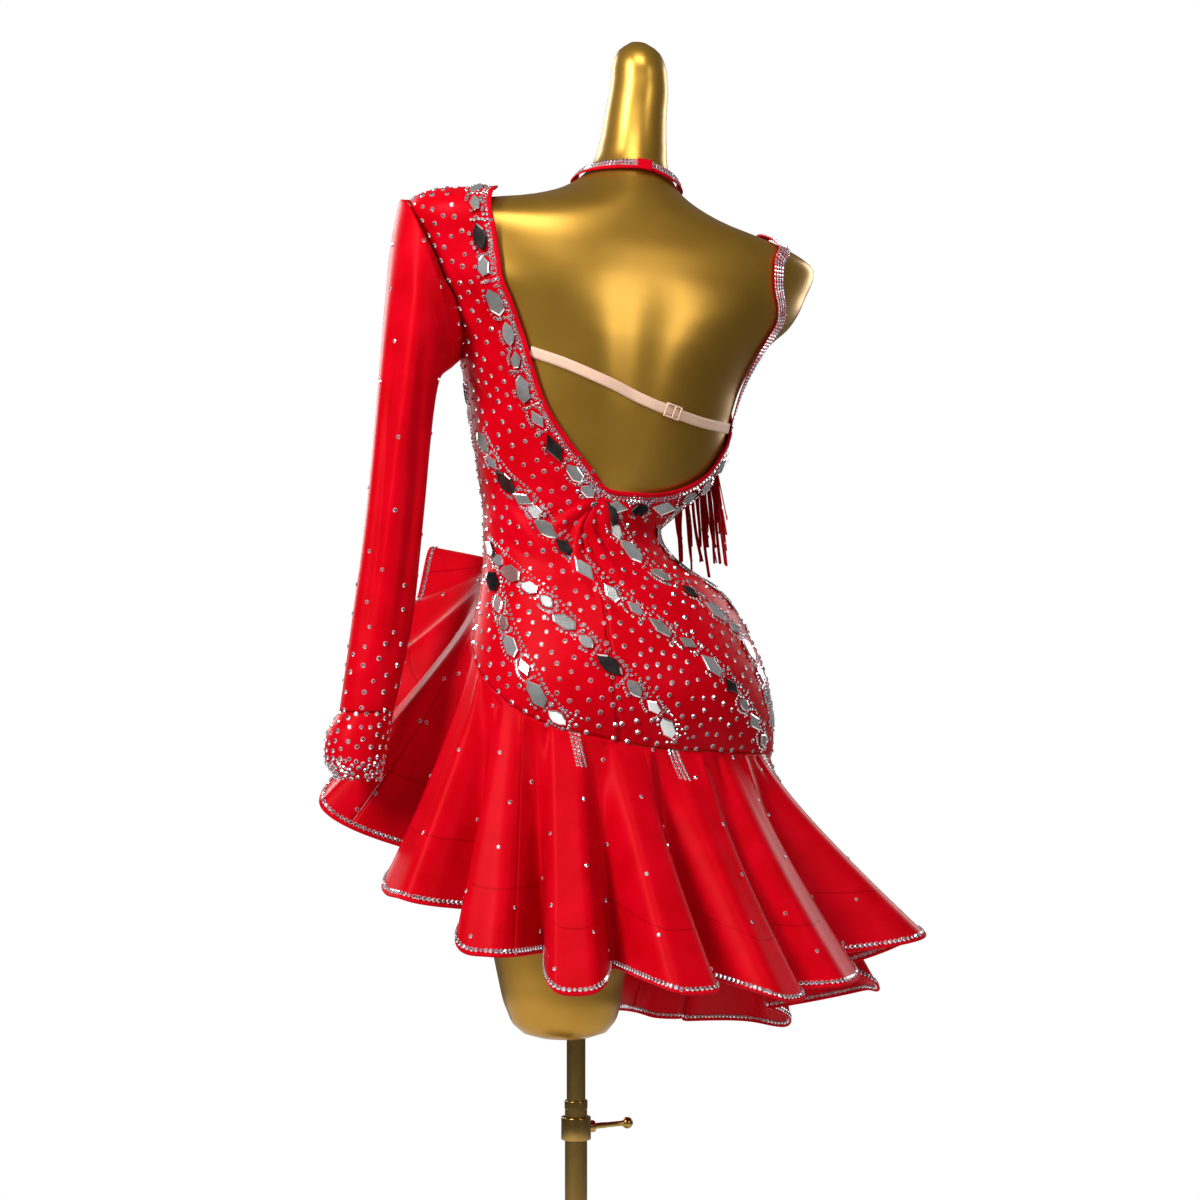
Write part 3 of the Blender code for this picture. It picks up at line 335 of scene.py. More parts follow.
# Mirror outlines, as corners round a unit square, and the run of sizes along a row (metres)
MIRROR_SHAPES = (
    ((-1.0, -0.1), (-0.35, 0.95), (0.70, 0.85), (1.0, -0.15), (0.40, -0.95), (-0.65, -0.80)),
    (
        (-1.0, 0.05), (-0.45, 0.80), (0.15, 1.0), (0.70, 0.55),
        (1.0, -0.1), (0.50, -0.75), (0.0, -0.95), (-0.6, -0.60),
    ),
    ((-1.0, 0.0), (0.15, 1.0), (1.0, 0.1), (-0.10, -1.0)),
    ((-1.0, 0.1), (-0.1, 1.0), (0.95, 0.45), (1.0, -0.5), (0.0, -0.95)),
)
MIRROR_RUN = ((0.0290, 0.0150), (0.0210, 0.0125), (0.0320, 0.0160), (0.0240, 0.0135), (0.0190, 0.0120))

GAP = 0.0003
MAST_BORE = 0.01045
COLLAR_WALL = 0.0032
COLLAR_ROUND = 0.0008
SCREW_TIP = 0.0103
SCREW_LENGTH = 0.046
SCREW_RADIUS = 0.0030
KNOB_RADIUS = 0.0062

# Soft lamps round the dress. Columns: name, azimuth, height, distance, width, length, power
LAMPS = (
    ("key", 120.0, 2.3, 2.2, 0.55, 1.3, 74.0),
    ("fill", 205.0, 1.7, 2.5, 0.6, 1.4, 14.0),
    ("top", 165.0, 3.1, 1.5, 1.2, 0.8, 27.0),
    ("front_left", 20.0, 2.0, 2.8, 1.0, 1.6, 38.0),
    ("front_right", 300.0, 1.8, 3.0, 1.0, 1.6, 26.0),
)

FLOOR_RADIUS = 1.7
CAMERA_TURN = math.radians(162.0)
CAMERA_DISTANCE = 3.0
CAMERA_LENS = 84.9
CAMERA_HEIGHT = 1.022
CAMERA_ASIDE = 0.0254


# ---------------------------------------------------------------- surfaces


class Table:
    """Rows keyed by their first column, run through smoothly and without overshoot."""

    def __init__(self, rows):
        table = np.array(rows, dtype=float)
        self.keys = table[:, 0]
        self.values = table[:, 1:]
        steps = np.diff(self.keys)
        slopes = np.diff(self.values, axis=0) / steps[:, None]
        self.steps = steps
        self.tangents = np.zeros_like(self.values)
        self.tangents[0] = slopes[0]
        self.tangents[-1] = slopes[-1]
        share = (steps[1:] / (steps[:-1] + steps[1:]))[:, None]
        self.tangents[1:-1] = slopes[:-1] * share + slopes[1:] * (1.0 - share)
        turning = slopes[:-1] * slopes[1:] <= 0.0
        self.tangents[1:-1][turning] = 0.0

    def __call__(self, at):
        at = np.clip(np.atleast_1d(np.asarray(at, dtype=float)), self.keys[0], self.keys[-1])
        index = np.clip(np.searchsorted(self.keys, at) - 1, 0, len(self.steps) - 1)
        step = self.steps[index][:, None]
        t = ((at - self.keys[index])[:, None]) / step
        slope = step * self.tangents[index]
        next_slope = step * self.tangents[index + 1]
        start = (2 * t**3 - 3 * t**2 + 1) * self.values[index] + (t**3 - 2 * t**2 + t) * slope
        end = (3 * t**2 - 2 * t**3) * self.values[index + 1] + (t**3 - t**2) * next_slope
        return start + end


class Route(Table):
    """Smooth line through (angle, level) points, run by its share of the length."""

    def __init__(self, points):
        flat = np.array([(math.radians(angle) * ROUND, level) for angle, level in points])
        runs = np.maximum(np.linalg.norm(np.diff(flat, axis=0), axis=1), 1e-5)
        at = np.concatenate([[0.0], np.cumsum(runs)]) / runs.sum()
        super().__init__([(where, angle, level) for where, (angle, level) in zip(at, points)])


SECTIONS = Table(FORM_SECTIONS)
SEAM = Table(FLOUNCE_SEAM)


def turn_between(a, b):
    return (a - b + 180.0) % 360.0 - 180.0


def mound(angle, level, centre, height, spread, half_height, rise):
    across = turn_between(angle, centre) / spread
    along = (level - height) / half_height
    return rise * np.exp(-across**2 - along**2)


def section_point(angle, level):
    angle = np.atleast_1d(np.asarray(angle, dtype=float))
    level = np.broadcast_to(np.atleast_1d(np.asarray(level, dtype=float)), angle.shape)
    centre_x, half_width, front, back, roll = SECTIONS(level).T
    swell = 1.0 + sum(mound(angle, level, *row) for row in FORM_RELIEF) / 0.1
    x = half_width * np.cos(np.radians(angle)) * swell
    y = (front + back) / 2 + (back - front) / 2 * np.sin(np.radians(angle)) * swell
    return np.stack([centre_x + x, y, level + x * np.tan(np.radians(roll))], axis=1)


def unit(vectors):
    return vectors / np.linalg.norm(vectors, axis=1)[:, None]


def outward_at(angle, level):
    """Unit normals of the form's surface."""
    angle = np.atleast_1d(np.asarray(angle, dtype=float))
    level = np.broadcast_to(np.atleast_1d(np.asarray(level, dtype=float)), angle.shape)
    low = np.maximum(level - 0.002, FORM_SECTIONS[0][0])
    high = np.minimum(level + 0.002, FORM_SECTIONS[-1][0])
    across = section_point(angle + 1.0, level) - section_point(angle - 1.0, level)
    along = section_point(angle, high) - section_point(angle, low)
    return unit(np.cross(across, along))


def skin(angle, level, lift=0.0):
    """Points on the form, moved straight out by lift."""
    lift = np.broadcast_to(np.atleast_1d(lift), np.atleast_1d(angle).shape)
    return section_point(angle, level) + outward_at(angle, level) * lift[:, None]


def cloth_skin(angle, level, lift):
    """Points of the cloth, which stands higher over the left shoulder."""
    return skin(angle, level, lift + mound(np.asarray(angle), np.asarray(level), *SHOULDER_PAD))


def crease_height(angle, level, creases):
    """Height of soft troughs and ridges at points of the bodice."""
    total = np.zeros(len(angle))
    for angle_a, level_a, angle_b, level_b, width, height in creases:
        away = np.radians(turn_between(angle, angle_a)) * ROUND
        rise = level - level_a
        run = math.radians((angle_b - angle_a + 180.0) % 360.0 - 180.0) * ROUND
        climb = level_b - level_a
        length = math.hypot(run, climb)
        along = (away * run + rise * climb) / length**2
        aside = (away * climb - rise * run) / length
        fade = np.clip(along * (1.0 - along) * 4.0, 0.0, 1.0) ** 0.6
        total += height * fade * np.exp(-(aside / (width * (0.6 + 0.8 * np.clip(along, 0, 1)))) ** 2)
    return total


def seam_level(angle):
    wrapped = (np.asarray(angle, dtype=float) + 50.0) % 360.0 - 50.0
    return SEAM(wrapped)[:, 0]


def seam_line(start, end, steps=14, drop=0.0):
    angles = np.linspace(start, end, steps + 1)
    return [(a, z + drop) for a, z in zip(angles, seam_level(angles))]


# ---------------------------------------------------------------- mesh helpers


def mesh_from(name, bm):
    mesh = bpy.data.meshes.new(name)
    bm.to_mesh(mesh)
    bm.free()
    return mesh


def put_points(bm, points):
    for vert, point in zip(bm.verts, points):
        vert.co = point


def piece(name, bm, body, material, smooth=True):
    """A finished piece from a bmesh, riding on a body."""
    mesh = mesh_from(name, bm)
    if smooth:
        mesh.shade_smooth()
    obj = bpy.data.objects.new(name, mesh)
    bpy.context.scene.collection.objects.link(obj)
    for one in material if isinstance(material, (list, tuple)) else [material]:
        mesh.materials.append(one)
    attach(obj, body)
    return obj


def lattice(columns, rows, place, closed=False, flip=False):
    """A grid whose points are put at place(across, up), each running 0 to 1."""
    bm = bmesh.new()
    bmesh.ops.create_grid(bm, x_segments=columns, y_segments=rows, size=0.5)
    bm.verts.ensure_lookup_table()
    plan = np.array([vert.co for vert in bm.verts])
    across = np.clip(plan[:, 0] + 0.5, 0.0, 1.0)
    up = np.clip(plan[:, 1] + 0.5, 0.0, 1.0)
    uv = bm.loops.layers.uv.new("UVMap")
    for face in bm.faces:
        for loop in face.loops:
            loop[uv].uv = (loop.vert.co.x + 0.5, loop.vert.co.y + 0.5)
    put_points(bm, place(across, up))
    if closed:
        bmesh.ops.remove_doubles(bm, verts=bm.verts, dist=1e-5)
    if flip:
        bmesh.ops.reverse_faces(bm, faces=bm.faces)
    bm.normal_update()
    return bm


def thicken(obj, thickness, offset=1.0):
    wall = obj.modifiers.new("Wall", "SOLIDIFY")
    wall.thickness = thickness
    wall.offset = offset
    wall.use_even_offset = False
    return obj


def soften(obj, width, segments=2):
    edge = obj.modifiers.new("Edge", "BEVEL")
    edge.width = width
    edge.segments = segments
    edge.limit_method = "ANGLE"
    return obj


def patch(bottom, top, left, right):
    """Angles and levels inside four boundary lines."""
    lines = [Route(line) for line in (bottom, top, left, right)]
    corners = [lines[0](0.0)[0], lines[0](1.0)[0], lines[1](0.0)[0], lines[1](1.0)[0]]

    def inside(across, up):
        low, high, first, last = lines
        a = across[:, None]
        u = up[:, None]
        edge = (1 - u) * low(across) + u * high(across)
        side = (1 - a) * first(up) + a * last(up)
        under = (1 - a) * corners[0] + a * corners[1]
        over = (1 - a) * corners[2] + a * corners[3]
        blend = (1 - u) * under + u * over
        both = edge + side - blend
        return both[:, 0], both[:, 1]

    return inside


def mesh_area(obj):
    return sum(face.area for face in obj.data.polygons)


def cloth_panel(name, lines, columns, rows, flat, node_name):
    inside = patch(*lines)

    def place(across, up):
        angle, level = inside(across, up)
        lift = CLEARANCE + crease_height(angle, level, BODICE_CREASES)
        return cloth_skin(angle, level, lift)

    obj = piece(name, lattice(columns, rows, place), DRESS, SATIN)
    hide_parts(node_name)
    thicken(obj, CLOTH)
    PANELS[name] = obj
    SHEETS.append((obj, flat, "stretched", ["dress_form"]))


def ribbon_frame(points, lift, share, closed=False):
    """Points, along and sideways vectors of a line on the cloth."""
    route = Route(points)
    at = route(share)
    middle = cloth_skin(at[:, 0], at[:, 1], lift)
    step = 0.004
    before = route((share - step) % 1.0 if closed else np.maximum(share - step, 0.0))
    after = route((share + step) % 1.0 if closed else np.minimum(share + step, 1.0))
    ahead = unit(cloth_skin(after[:, 0], after[:, 1], lift) - cloth_skin(before[:, 0], before[:, 1], lift))
    normal = outward_at(at[:, 0], at[:, 1])
    return middle, ahead, unit(np.cross(normal, ahead)), normal


def ribbon(name, material, points, width, lift, wall, columns, slot, shift=0.0, closed=False, crown=0.0):
    """A flat band along a line on the form, moved sideways by shift and crowned across."""

    def place(across, up):
        middle, _, aside, normal = ribbon_frame(points, lift, across, closed)
        bulge = crown * (1.0 - (2.0 * up - 1.0) ** 2)
        return middle + aside * (shift + (up - 0.5) * width)[:, None] + normal * bulge[:, None]

    obj = piece(name, lattice(columns, 4, place, closed), DRESS, material)
    thicken(obj, wall)
    return obj


def line_length(points, lift=SURFACE):
    share = np.linspace(0.0, 1.0, 200)
    at = Route(points)(share)
    path = cloth_skin(at[:, 0], at[:, 1], lift)
    return float(np.linalg.norm(np.diff(path, axis=0), axis=1).sum())


def frame_matrix(position, ahead, normal, size):
    """Placement whose X runs along, Z runs out, scaled by size (x, y, z)."""
    z = Vector(normal).normalized()
    x = Vector(ahead)
    x = (x - z * x.dot(z)).normalized()
    y = z.cross(x)
    turn = Matrix((x, y, z)).transposed().to_4x4()
    scale = Matrix.Diagonal((*size, 1.0))
    return Matrix.Translation(position) @ turn @ scale


def repeat(name, shapes, places, body, materials):
    """One mesh of many copies; places pairs a shape's number with a placement."""
    bm = bmesh.new()
    for number, place in places:
        copy = shapes[number].copy()
        copy.transform(place)
        bm.from_mesh(copy)
        bpy.data.meshes.remove(copy)
    return piece(name, bm, body, materials, smooth=False)


# ---------------------------------------------------------------- materials


def node(tree, kind, values=(), **settings):
    """A shader node with its settings and the values of its sockets, by label or number."""
    made = tree.nodes.new(kind)
    for key, value in settings.items():
        setattr(made, key, value)
    for label, value in dict(values).items():
        made.inputs[label].default_value = value
    return made


def join(first, output, second, socket):
    first.id_data.links.new(first.outputs[output], second.inputs[socket])


def make_weave_group():
    """Fine satin weave with long soft drag lines; gives a height and a colour share."""
    group = bpy.data.node_groups.new("satin_weave", "ShaderNodeTree")
    sockets = group.interface
    sockets.new_socket(name="Vector", in_out="INPUT", socket_type="NodeSocketVector")
    sockets.new_socket(name="Thread", in_out="INPUT", socket_type="NodeSocketFloat")
    sockets.new_socket(name="Drag", in_out="INPUT", socket_type="NodeSocketFloat")
    sockets.new_socket(name="Height", in_out="OUTPUT", socket_type="NodeSocketFloat")
    sockets.new_socket(name="Share", in_out="OUTPUT", socket_type="NodeSocketFloat")
    entry = node(group, "NodeGroupInput")
    leave = node(group, "NodeGroupOutput")
    threads = node(group, "ShaderNodeTexNoise", {"Detail": 2.0})
    stretch = node(group, "ShaderNodeMapping", {"Scale": (1.0, 1.0, 0.25)})
    drag = node(group, "ShaderNodeTexNoise", {"Detail": 3.0})
    mix = node(group, "ShaderNodeMath", {1: 0.35}, operation="MULTIPLY_ADD")
    join(entry, "Vector", stretch, "Vector")
    join(stretch, "Vector", threads, "Vector")
    join(entry, "Thread", threads, "Scale")
    join(entry, "Vector", drag, "Vector")
    join(entry, "Drag", drag, "Scale")
    join(threads, "Fac", mix, 0)
    join(drag, "Fac", mix, 2)
    join(mix, "Value", leave, "Height")
    join(drag, "Fac", leave, "Share")
    return group


def start_material(name, roughness, metallic=0.0, values=()):
    """A material with its shader, set to the given roughness, metallic and other values."""
    material = bpy.data.materials.new(name)
    material.use_nodes = True
    shader = material.node_tree.nodes["Principled BSDF"]
    finish = {"Roughness": roughness, "Metallic": metallic}
    finish.update(values)
    for label, value in finish.items():
        shader.inputs[label].default_value = value
    return material, material.node_tree, shader


def paint(source, output, shader, dark, light, low=0.35, high=0.68):
    """Colours a shader between two tones by a value."""
    ramp = node(source.id_data, "ShaderNodeValToRGB")
    for element, position, color in zip(ramp.color_ramp.elements, (low, high), (dark, light)):
        element.position = position
        element.color = color
    join(source, output, ramp, "Fac")
    join(ramp, "Color", shader, "Base Color")
    return ramp


def emboss(source, output, shader, strength, distance):
    """Raises fine relief on a shader by a value."""
    bump = node(source.id_data, "ShaderNodeBump", {"Strength": strength, "Distance": distance})
    join(source, output, bump, "Height")
    join(bump, "Normal", shader, "Normal")
    return bump


def satin_material(name, dark, light, roughness, sheen, hem_band=False):
    values = {
        "Sheen Weight": sheen,
        "Sheen Roughness": 0.4,
        "Sheen Tint": (1.0, 0.04, 0.06, 1.0),
        "Specular IOR Level": 0.12,
        "Specular Tint": (1.0, 0.12, 0.14, 1.0),
    }
    material, tree, shader = start_material(name, roughness, 0.0, values)
    place = node(tree, "ShaderNodeTexCoord")
    weave = node(tree, "ShaderNodeGroup", {"Thread": 1800.0, "Drag": 30.0}, node_tree=WEAVE)
    join(place, "Object", weave, "Vector")
    ramp = paint(weave, "Share", shader, dark, light)
    bump = emboss(weave, "Height", shader, 0.12, 0.0006)
    if hem_band:
        add_band_line(shader, ramp, bump, weave)
    return material


def add_band_line(shader, ramp, bump, weave):
    """Edge of the stiff band inside the hem: a fine raised line with a shadow under it."""
    tree = shader.id_data
    height = node(tree, "ShaderNodeAttribute", attribute_name="above_hem")
    aside = node(tree, "ShaderNodeMath", {1: HAIR_BAND}, operation="SUBTRACT")
    away = node(tree, "ShaderNodeMath", operation="ABSOLUTE")
    span = {"From Min": 0.0, "From Max": 0.0017, "To Min": 1.0, "To Max": 0.0}
    line = node(tree, "ShaderNodeMapRange", span)
    raised = node(tree, "ShaderNodeMath", {1: 1.6}, operation="MULTIPLY_ADD")
    shadow = {7: (0.70, 0.6, 0.6, 1.0)}
    shade = node(tree, "ShaderNodeMix", shadow, data_type="RGBA", blend_type="MULTIPLY")
    join(height, "Fac", aside, 0)
    join(aside, 0, away, 0)
    join(away, 0, line, "Value")
    join(line, "Result", raised, 0)
    join(weave, "Height", raised, 2)
    join(raised, 0, bump, "Height")
    join(line, "Result", shade, 0)
    join(ramp, "Color", shade, 6)
    join(shade, 2, shader, "Base Color")


def metal_paint(name, dark, light, roughness, metallic, grain=900.0, coat=0.0):
    """Gold lacquer: fine metal flake, slow colour drift and a thin clear coat."""
    values = {"Coat Weight": coat, "Coat Roughness": 0.25}
    material, tree, shader = start_material(name, roughness, metallic, values)
    place = node(tree, "ShaderNodeTexCoord")
    drift = node(tree, "ShaderNodeTexNoise", {"Scale": 7.0, "Detail": 4.0})
    flake = node(tree, "ShaderNodeTexNoise", {"Scale": grain})
    join(place, "Object", drift, "Vector")
    join(place, "Object", flake, "Vector")
    paint(drift, "Fac", shader, dark, light)
    emboss(flake, "Fac", shader, 0.06, 0.0004)
    return material


def mirror_material(name, dark, light):
    material, tree, shader = start_material(name, 0.16, 0.88)
    place = node(tree, "ShaderNodeTexCoord")
    cloud = node(tree, "ShaderNodeTexNoise", {"Scale": 55.0})
    join(place, "Object", cloud, "Vector")
    paint(cloud, "Fac", shader, (*dark, 1.0), (*light, 1.0), 0.35, 0.65)
    return material


def crystal_material(name, stops, roughness=0.12, metallic=0.75):
    """Foiled crystal whose tint changes from stone to stone."""
    values = {"Coat Weight": 0.6, "Coat Roughness": 0.05}
    material, tree, shader = start_material(name, roughness, metallic, values)
    place = node(tree, "ShaderNodeTexCoord")
    cells = node(tree, "ShaderNodeTexVoronoi", {"Scale": 260.0})
    part = node(tree, "ShaderNodeSeparateColor")
    ramp = node(tree, "ShaderNodeValToRGB")
    ramp.color_ramp.interpolation = "CONSTANT"
    while len(ramp.color_ramp.elements) < len(stops):
        ramp.color_ramp.elements.new(0.5)
    for element, (position, color) in zip(ramp.color_ramp.elements, stops):
        element.position = position
        element.color = (*color, 1.0)
    join(place, "Object", cells, "Vector")
    join(cells, "Color", part, "Color")
    join(part, "Red", ramp, "Fac")
    join(ramp, "Color", shader, "Base Color")
    return material


def elastic_material():
    """Skin-coloured elastic tape: fine ribs across, coloured darker in their grooves as painted shade, and a
    soft nap.
    """
    material, tree, shader = start_material("nude_elastic", 0.6, 0.0, {"Sheen Weight": 0.3})
    place = node(tree, "ShaderNodeTexCoord")
    values = {"Scale": 90.0, "Distortion": 0.6}
    ribs = node(tree, "ShaderNodeTexWave", values, wave_type="BANDS", bands_direction="X")
    join(place, "UV", ribs, "Vector")
    # The ribs are coloured darker in their grooves and lighter on their crests: painted shade
    paint(ribs, "Fac", shader, (0.66, 0.39, 0.27, 1.0), (0.86, 0.58, 0.42, 1.0), 0.2, 0.8)
    emboss(ribs, "Fac", shader, 0.35, 0.0005)
    return material


WEAVE = make_weave_group()
DEEP_RED = (0.455, 0.0002, 0.004, 1.0)
LIGHT_RED = (0.535, 0.0004, 0.008, 1.0)
SATIN = satin_material("red_satin", DEEP_RED, LIGHT_RED, 0.38, 0.02)
FLOUNCE_SATIN = satin_material("flounce_satin", DEEP_RED, LIGHT_RED, 0.38, 0.02, True)
BINDING = satin_material("red_binding", (0.44, 0.0004, 0.006, 1.0), (0.60, 0.0008, 0.010, 1.0), 0.6, 0.05)
GOLD = metal_paint("form_gold", (0.40, 0.208, 0.022, 1.0), (0.52, 0.284, 0.036, 1.0), 0.33, 0.80, coat=0.14)
BRONZE = metal_paint("stand_bronze", (0.34, 0.20, 0.05, 1.0), (0.44, 0.28, 0.08, 1.0), 0.22, 1.0, 400.0)
IRON = metal_paint("base_enamel", (0.26, 0.165, 0.05, 1.0), (0.34, 0.22, 0.07, 1.0), 0.4, 0.85, 500.0)
# Three tones of one silver mirror: grey, bright, and a near-black one that is a painted dark reflection
MIRRORS = [
    mirror_material("mirror_grey", (0.62, 0.62, 0.58), (0.86, 0.86, 0.83)),
    mirror_material("mirror_bright", (0.86, 0.86, 0.86), (1.0, 1.0, 1.0)),
    mirror_material("mirror_painted_dark_reflection", (0.035, 0.030, 0.030), (0.12, 0.11, 0.10)),
]
MIRROR_TURNS = (0, 1, 0, 2, 1, 0, 1, 0, 0, 1, 2)
CRYSTAL = crystal_material(
    "crystal",
    (
        (0.0, (0.88, 0.85, 0.87)),
        (0.42, (0.95, 0.60, 0.66)),
        (0.60, (0.66, 0.74, 0.92)),
        (0.72, (0.95, 0.88, 0.76)),
        (0.86, (0.56, 0.50, 0.52)),
    ),
)
# The stone's top table: its dark colour is a painted dark reflection
PAINTED_DARK_TABLE = crystal_material(
    "crystal_table_painted_dark_reflection", ((0.0, (0.060, 0.030, 0.036)), (0.6, (0.20, 0.11, 0.14))), 0.42, 0.3
)
ELASTIC_TAPE = elastic_material()
CLEAR_NUDE = satin_material("slider_nylon", (0.74, 0.50, 0.38, 1.0), (0.84, 0.62, 0.48, 1.0), 0.25, 0.0)

PANELS = {}
SHEETS = []


# ---------------------------------------------------------------- form and stand


def make_form():
    rings = 220
    bm = bmesh.new()
    bmesh.ops.create_uvsphere(bm, u_segments=128, v_segments=rings, radius=1.0)
    plan = np.array([vert.co for vert in bm.verts])
    polar = np.arccos(np.clip(plan[:, 2], -1.0, 1.0)) / math.pi
    share = np.clip(((1.0 - polar) * rings - 1.0) / (rings - 2.0), 0.0, 1.0)
    level = FORM_SECTIONS[0][0] + (FORM_SECTIONS[-1][0] - FORM_SECTIONS[0][0]) * share
    angle = np.degrees(np.arctan2(plan[:, 1], plan[:, 0]))
    points = section_point(angle, level)
    pole = np.hypot(plan[:, 0], plan[:, 1]) < 1e-5
    left_side = section_point(np.zeros(len(level)), level)
    right_side = section_point(np.full(len(level), 180.0), level)
    middle = (left_side + right_side) / 2
    middle[:, 2] += np.where(plan[:, 2] > 0, 0.0006, 0.0)
    points[pole] = middle[pole]
    put_points(bm, points)
    form = piece("dress_form_shell", bm, DRESS, GOLD)
    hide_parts("dress_form")


def turned(name, outline, body, material, nodes, matrix=None, steps=48):
    """A round piece spun from its outline (radius, height), outer side run top to bottom."""
    bm = bmesh.new()
    verts = [bm.verts.new((radius, 0.0, height)) for radius, height in outline]
    edges = [bm.edges.new(pair) for pair in zip(verts, verts[1:])]
    bmesh.ops.spin(
        bm, geom=verts + edges, cent=(0, 0, 0), axis=(0, 0, 1), angle=math.tau, steps=steps, use_merge=True
    )
    bmesh.ops.remove_doubles(bm, verts=bm.verts, dist=1e-6)
    bmesh.ops.recalc_face_normals(bm, faces=bm.faces)
    if matrix is not None:
        bmesh.ops.transform(bm, matrix=matrix, verts=bm.verts)
    obj = piece(name, bm, body, material)
    obj.data.set_sharp_from_angle(angle=math.radians(38))
    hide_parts(*nodes)
    return obj


def arc(centre, radius, start, end, steps):
    turns = [math.radians(start + (end - start) * k / steps) for k in range(steps + 1)]
    return [(centre[0] + radius * math.cos(t), centre[1] + radius * math.sin(t)) for t in turns]


def node_size(name):
    low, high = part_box(name)
    return Vector(low), Vector(high)


def make_stand():
    low, high = node_size("base_disc")
    radius = high.x
    top = high.z
    outline = [(0.0, top), (0.022, top), (radius * 0.6, top - 0.0010), (radius - 0.012, top - 0.0042)]
    outline += arc((radius - 0.0035, top - 0.0082), 0.0035, 80.0, 0.0, 6)
    outline += [(radius, 0.0006), (radius - 0.0006, 0.0), (0.0, 0.0)]
    turned("base_plate", outline, STAND, IRON, ["base_disc"], steps=96)
    low, high = node_size("mast_outer")
    tube = (high.x - low.x) / 2
    top = high.z
    outline = [(MAST_BORE, top - 0.02), (MAST_BORE, top)]
    outline += arc((tube - 0.0007, top - 0.0007), 0.0007, 90.0, 0.0, 4)
    outline += [(tube, top - 0.0085), (tube - 0.0004, top - 0.009), (tube - 0.0004, low.z)]
    outline += [(MAST_BORE, low.z), (MAST_BORE, top - 0.02)]
    turned("outer_tube", outline, STAND, BRONZE, ["mast_outer"])
    low, high = node_size("mast_inner")
    inner = (high.x - low.x) / 2
    outline = [(0.0, high.z), (inner, high.z), (inner, low.z + 0.001), (inner - 0.001, low.z), (0.0, low.z)]
    turned("inner_tube", outline, DRESS, BRONZE, ["mast_inner"])
    low, high = node_size("tube_socket")
    top = high.z
    bore = tube + GAP
    outline = [(bore, top), (tube + 0.0030, top)] + arc((tube + 0.0032, top - 0.0010), 0.0010, 80, 0, 3)
    outline += [(tube + 0.0043, top - 0.010), (high.x, low.z + 0.007), (high.x, low.z)]
    outline += [(bore, low.z), (bore, top)]
    turned("socket", outline, STAND, BRONZE, ["tube_socket"])
    make_clamp(bore)


def make_clamp(bore):
    low, high = node_size("clamp_collar")
    edge = bore + COLLAR_WALL - COLLAR_ROUND
    outline = [(bore, high.z)] + arc((edge, high.z - COLLAR_ROUND), COLLAR_ROUND, 90, 0, 4)
    outline += arc((edge, low.z + COLLAR_ROUND), COLLAR_ROUND, 0, -90, 4)
    outline += [(bore, low.z), (bore, high.z)]
    turned("clamp_ring", outline, STAND, BRONZE, ["clamp_collar"])
    turn = Vector((0, 0, 1)).rotation_difference(clamp_axis()).to_matrix().to_4x4()
    placed = Matrix.Translation((0, 0, (low.z + high.z) / 2)) @ turn
    outline = [(0.0034, 0.0214)] + arc((0.0056, 0.0206), 0.0008, 90, 0, 4)
    outline += [(0.0064, 0.0145), (0.0034, 0.0145), (0.0034, 0.0214)]
    turned("clamp_boss", outline, STAND, BRONZE, [], placed, 32)
    end = SCREW_TIP + SCREW_LENGTH
    neck = math.sqrt(KNOB_RADIUS**2 - SCREW_RADIUS**2)
    last = -math.degrees(math.acos(SCREW_RADIUS / KNOB_RADIUS))
    outline = arc((0.0, end + neck), KNOB_RADIUS, 90.0, last, 14)
    outline += [(0.0028, end - 0.001), (0.0028, end - 0.020), (0.0031, end - 0.021)]
    outline += [(0.0031, SCREW_TIP + 0.0005), (0.0026, SCREW_TIP), (0.0, SCREW_TIP)]
    turned("thumb_screw", outline, SCREW, BRONZE, ["clamp_screw"], placed, 32)


def clamp_axis():
    for joint in frame["record"]["behaviour"]["joints"]:
        if joint["name"] == "clamp_turn":
            return Vector(joint["axis"])
    return Vector((-1.0, 0.0, 0.0))


# ---------------------------------------------------------------- dress body


def seam_start(angle):
    """Where a panel's edge leaves the flounce seam."""
    return float(seam_level([angle])[0]) + SEAM_DROP


def moved(line, degrees):
    return [(angle + degrees, level) for angle, level in line]


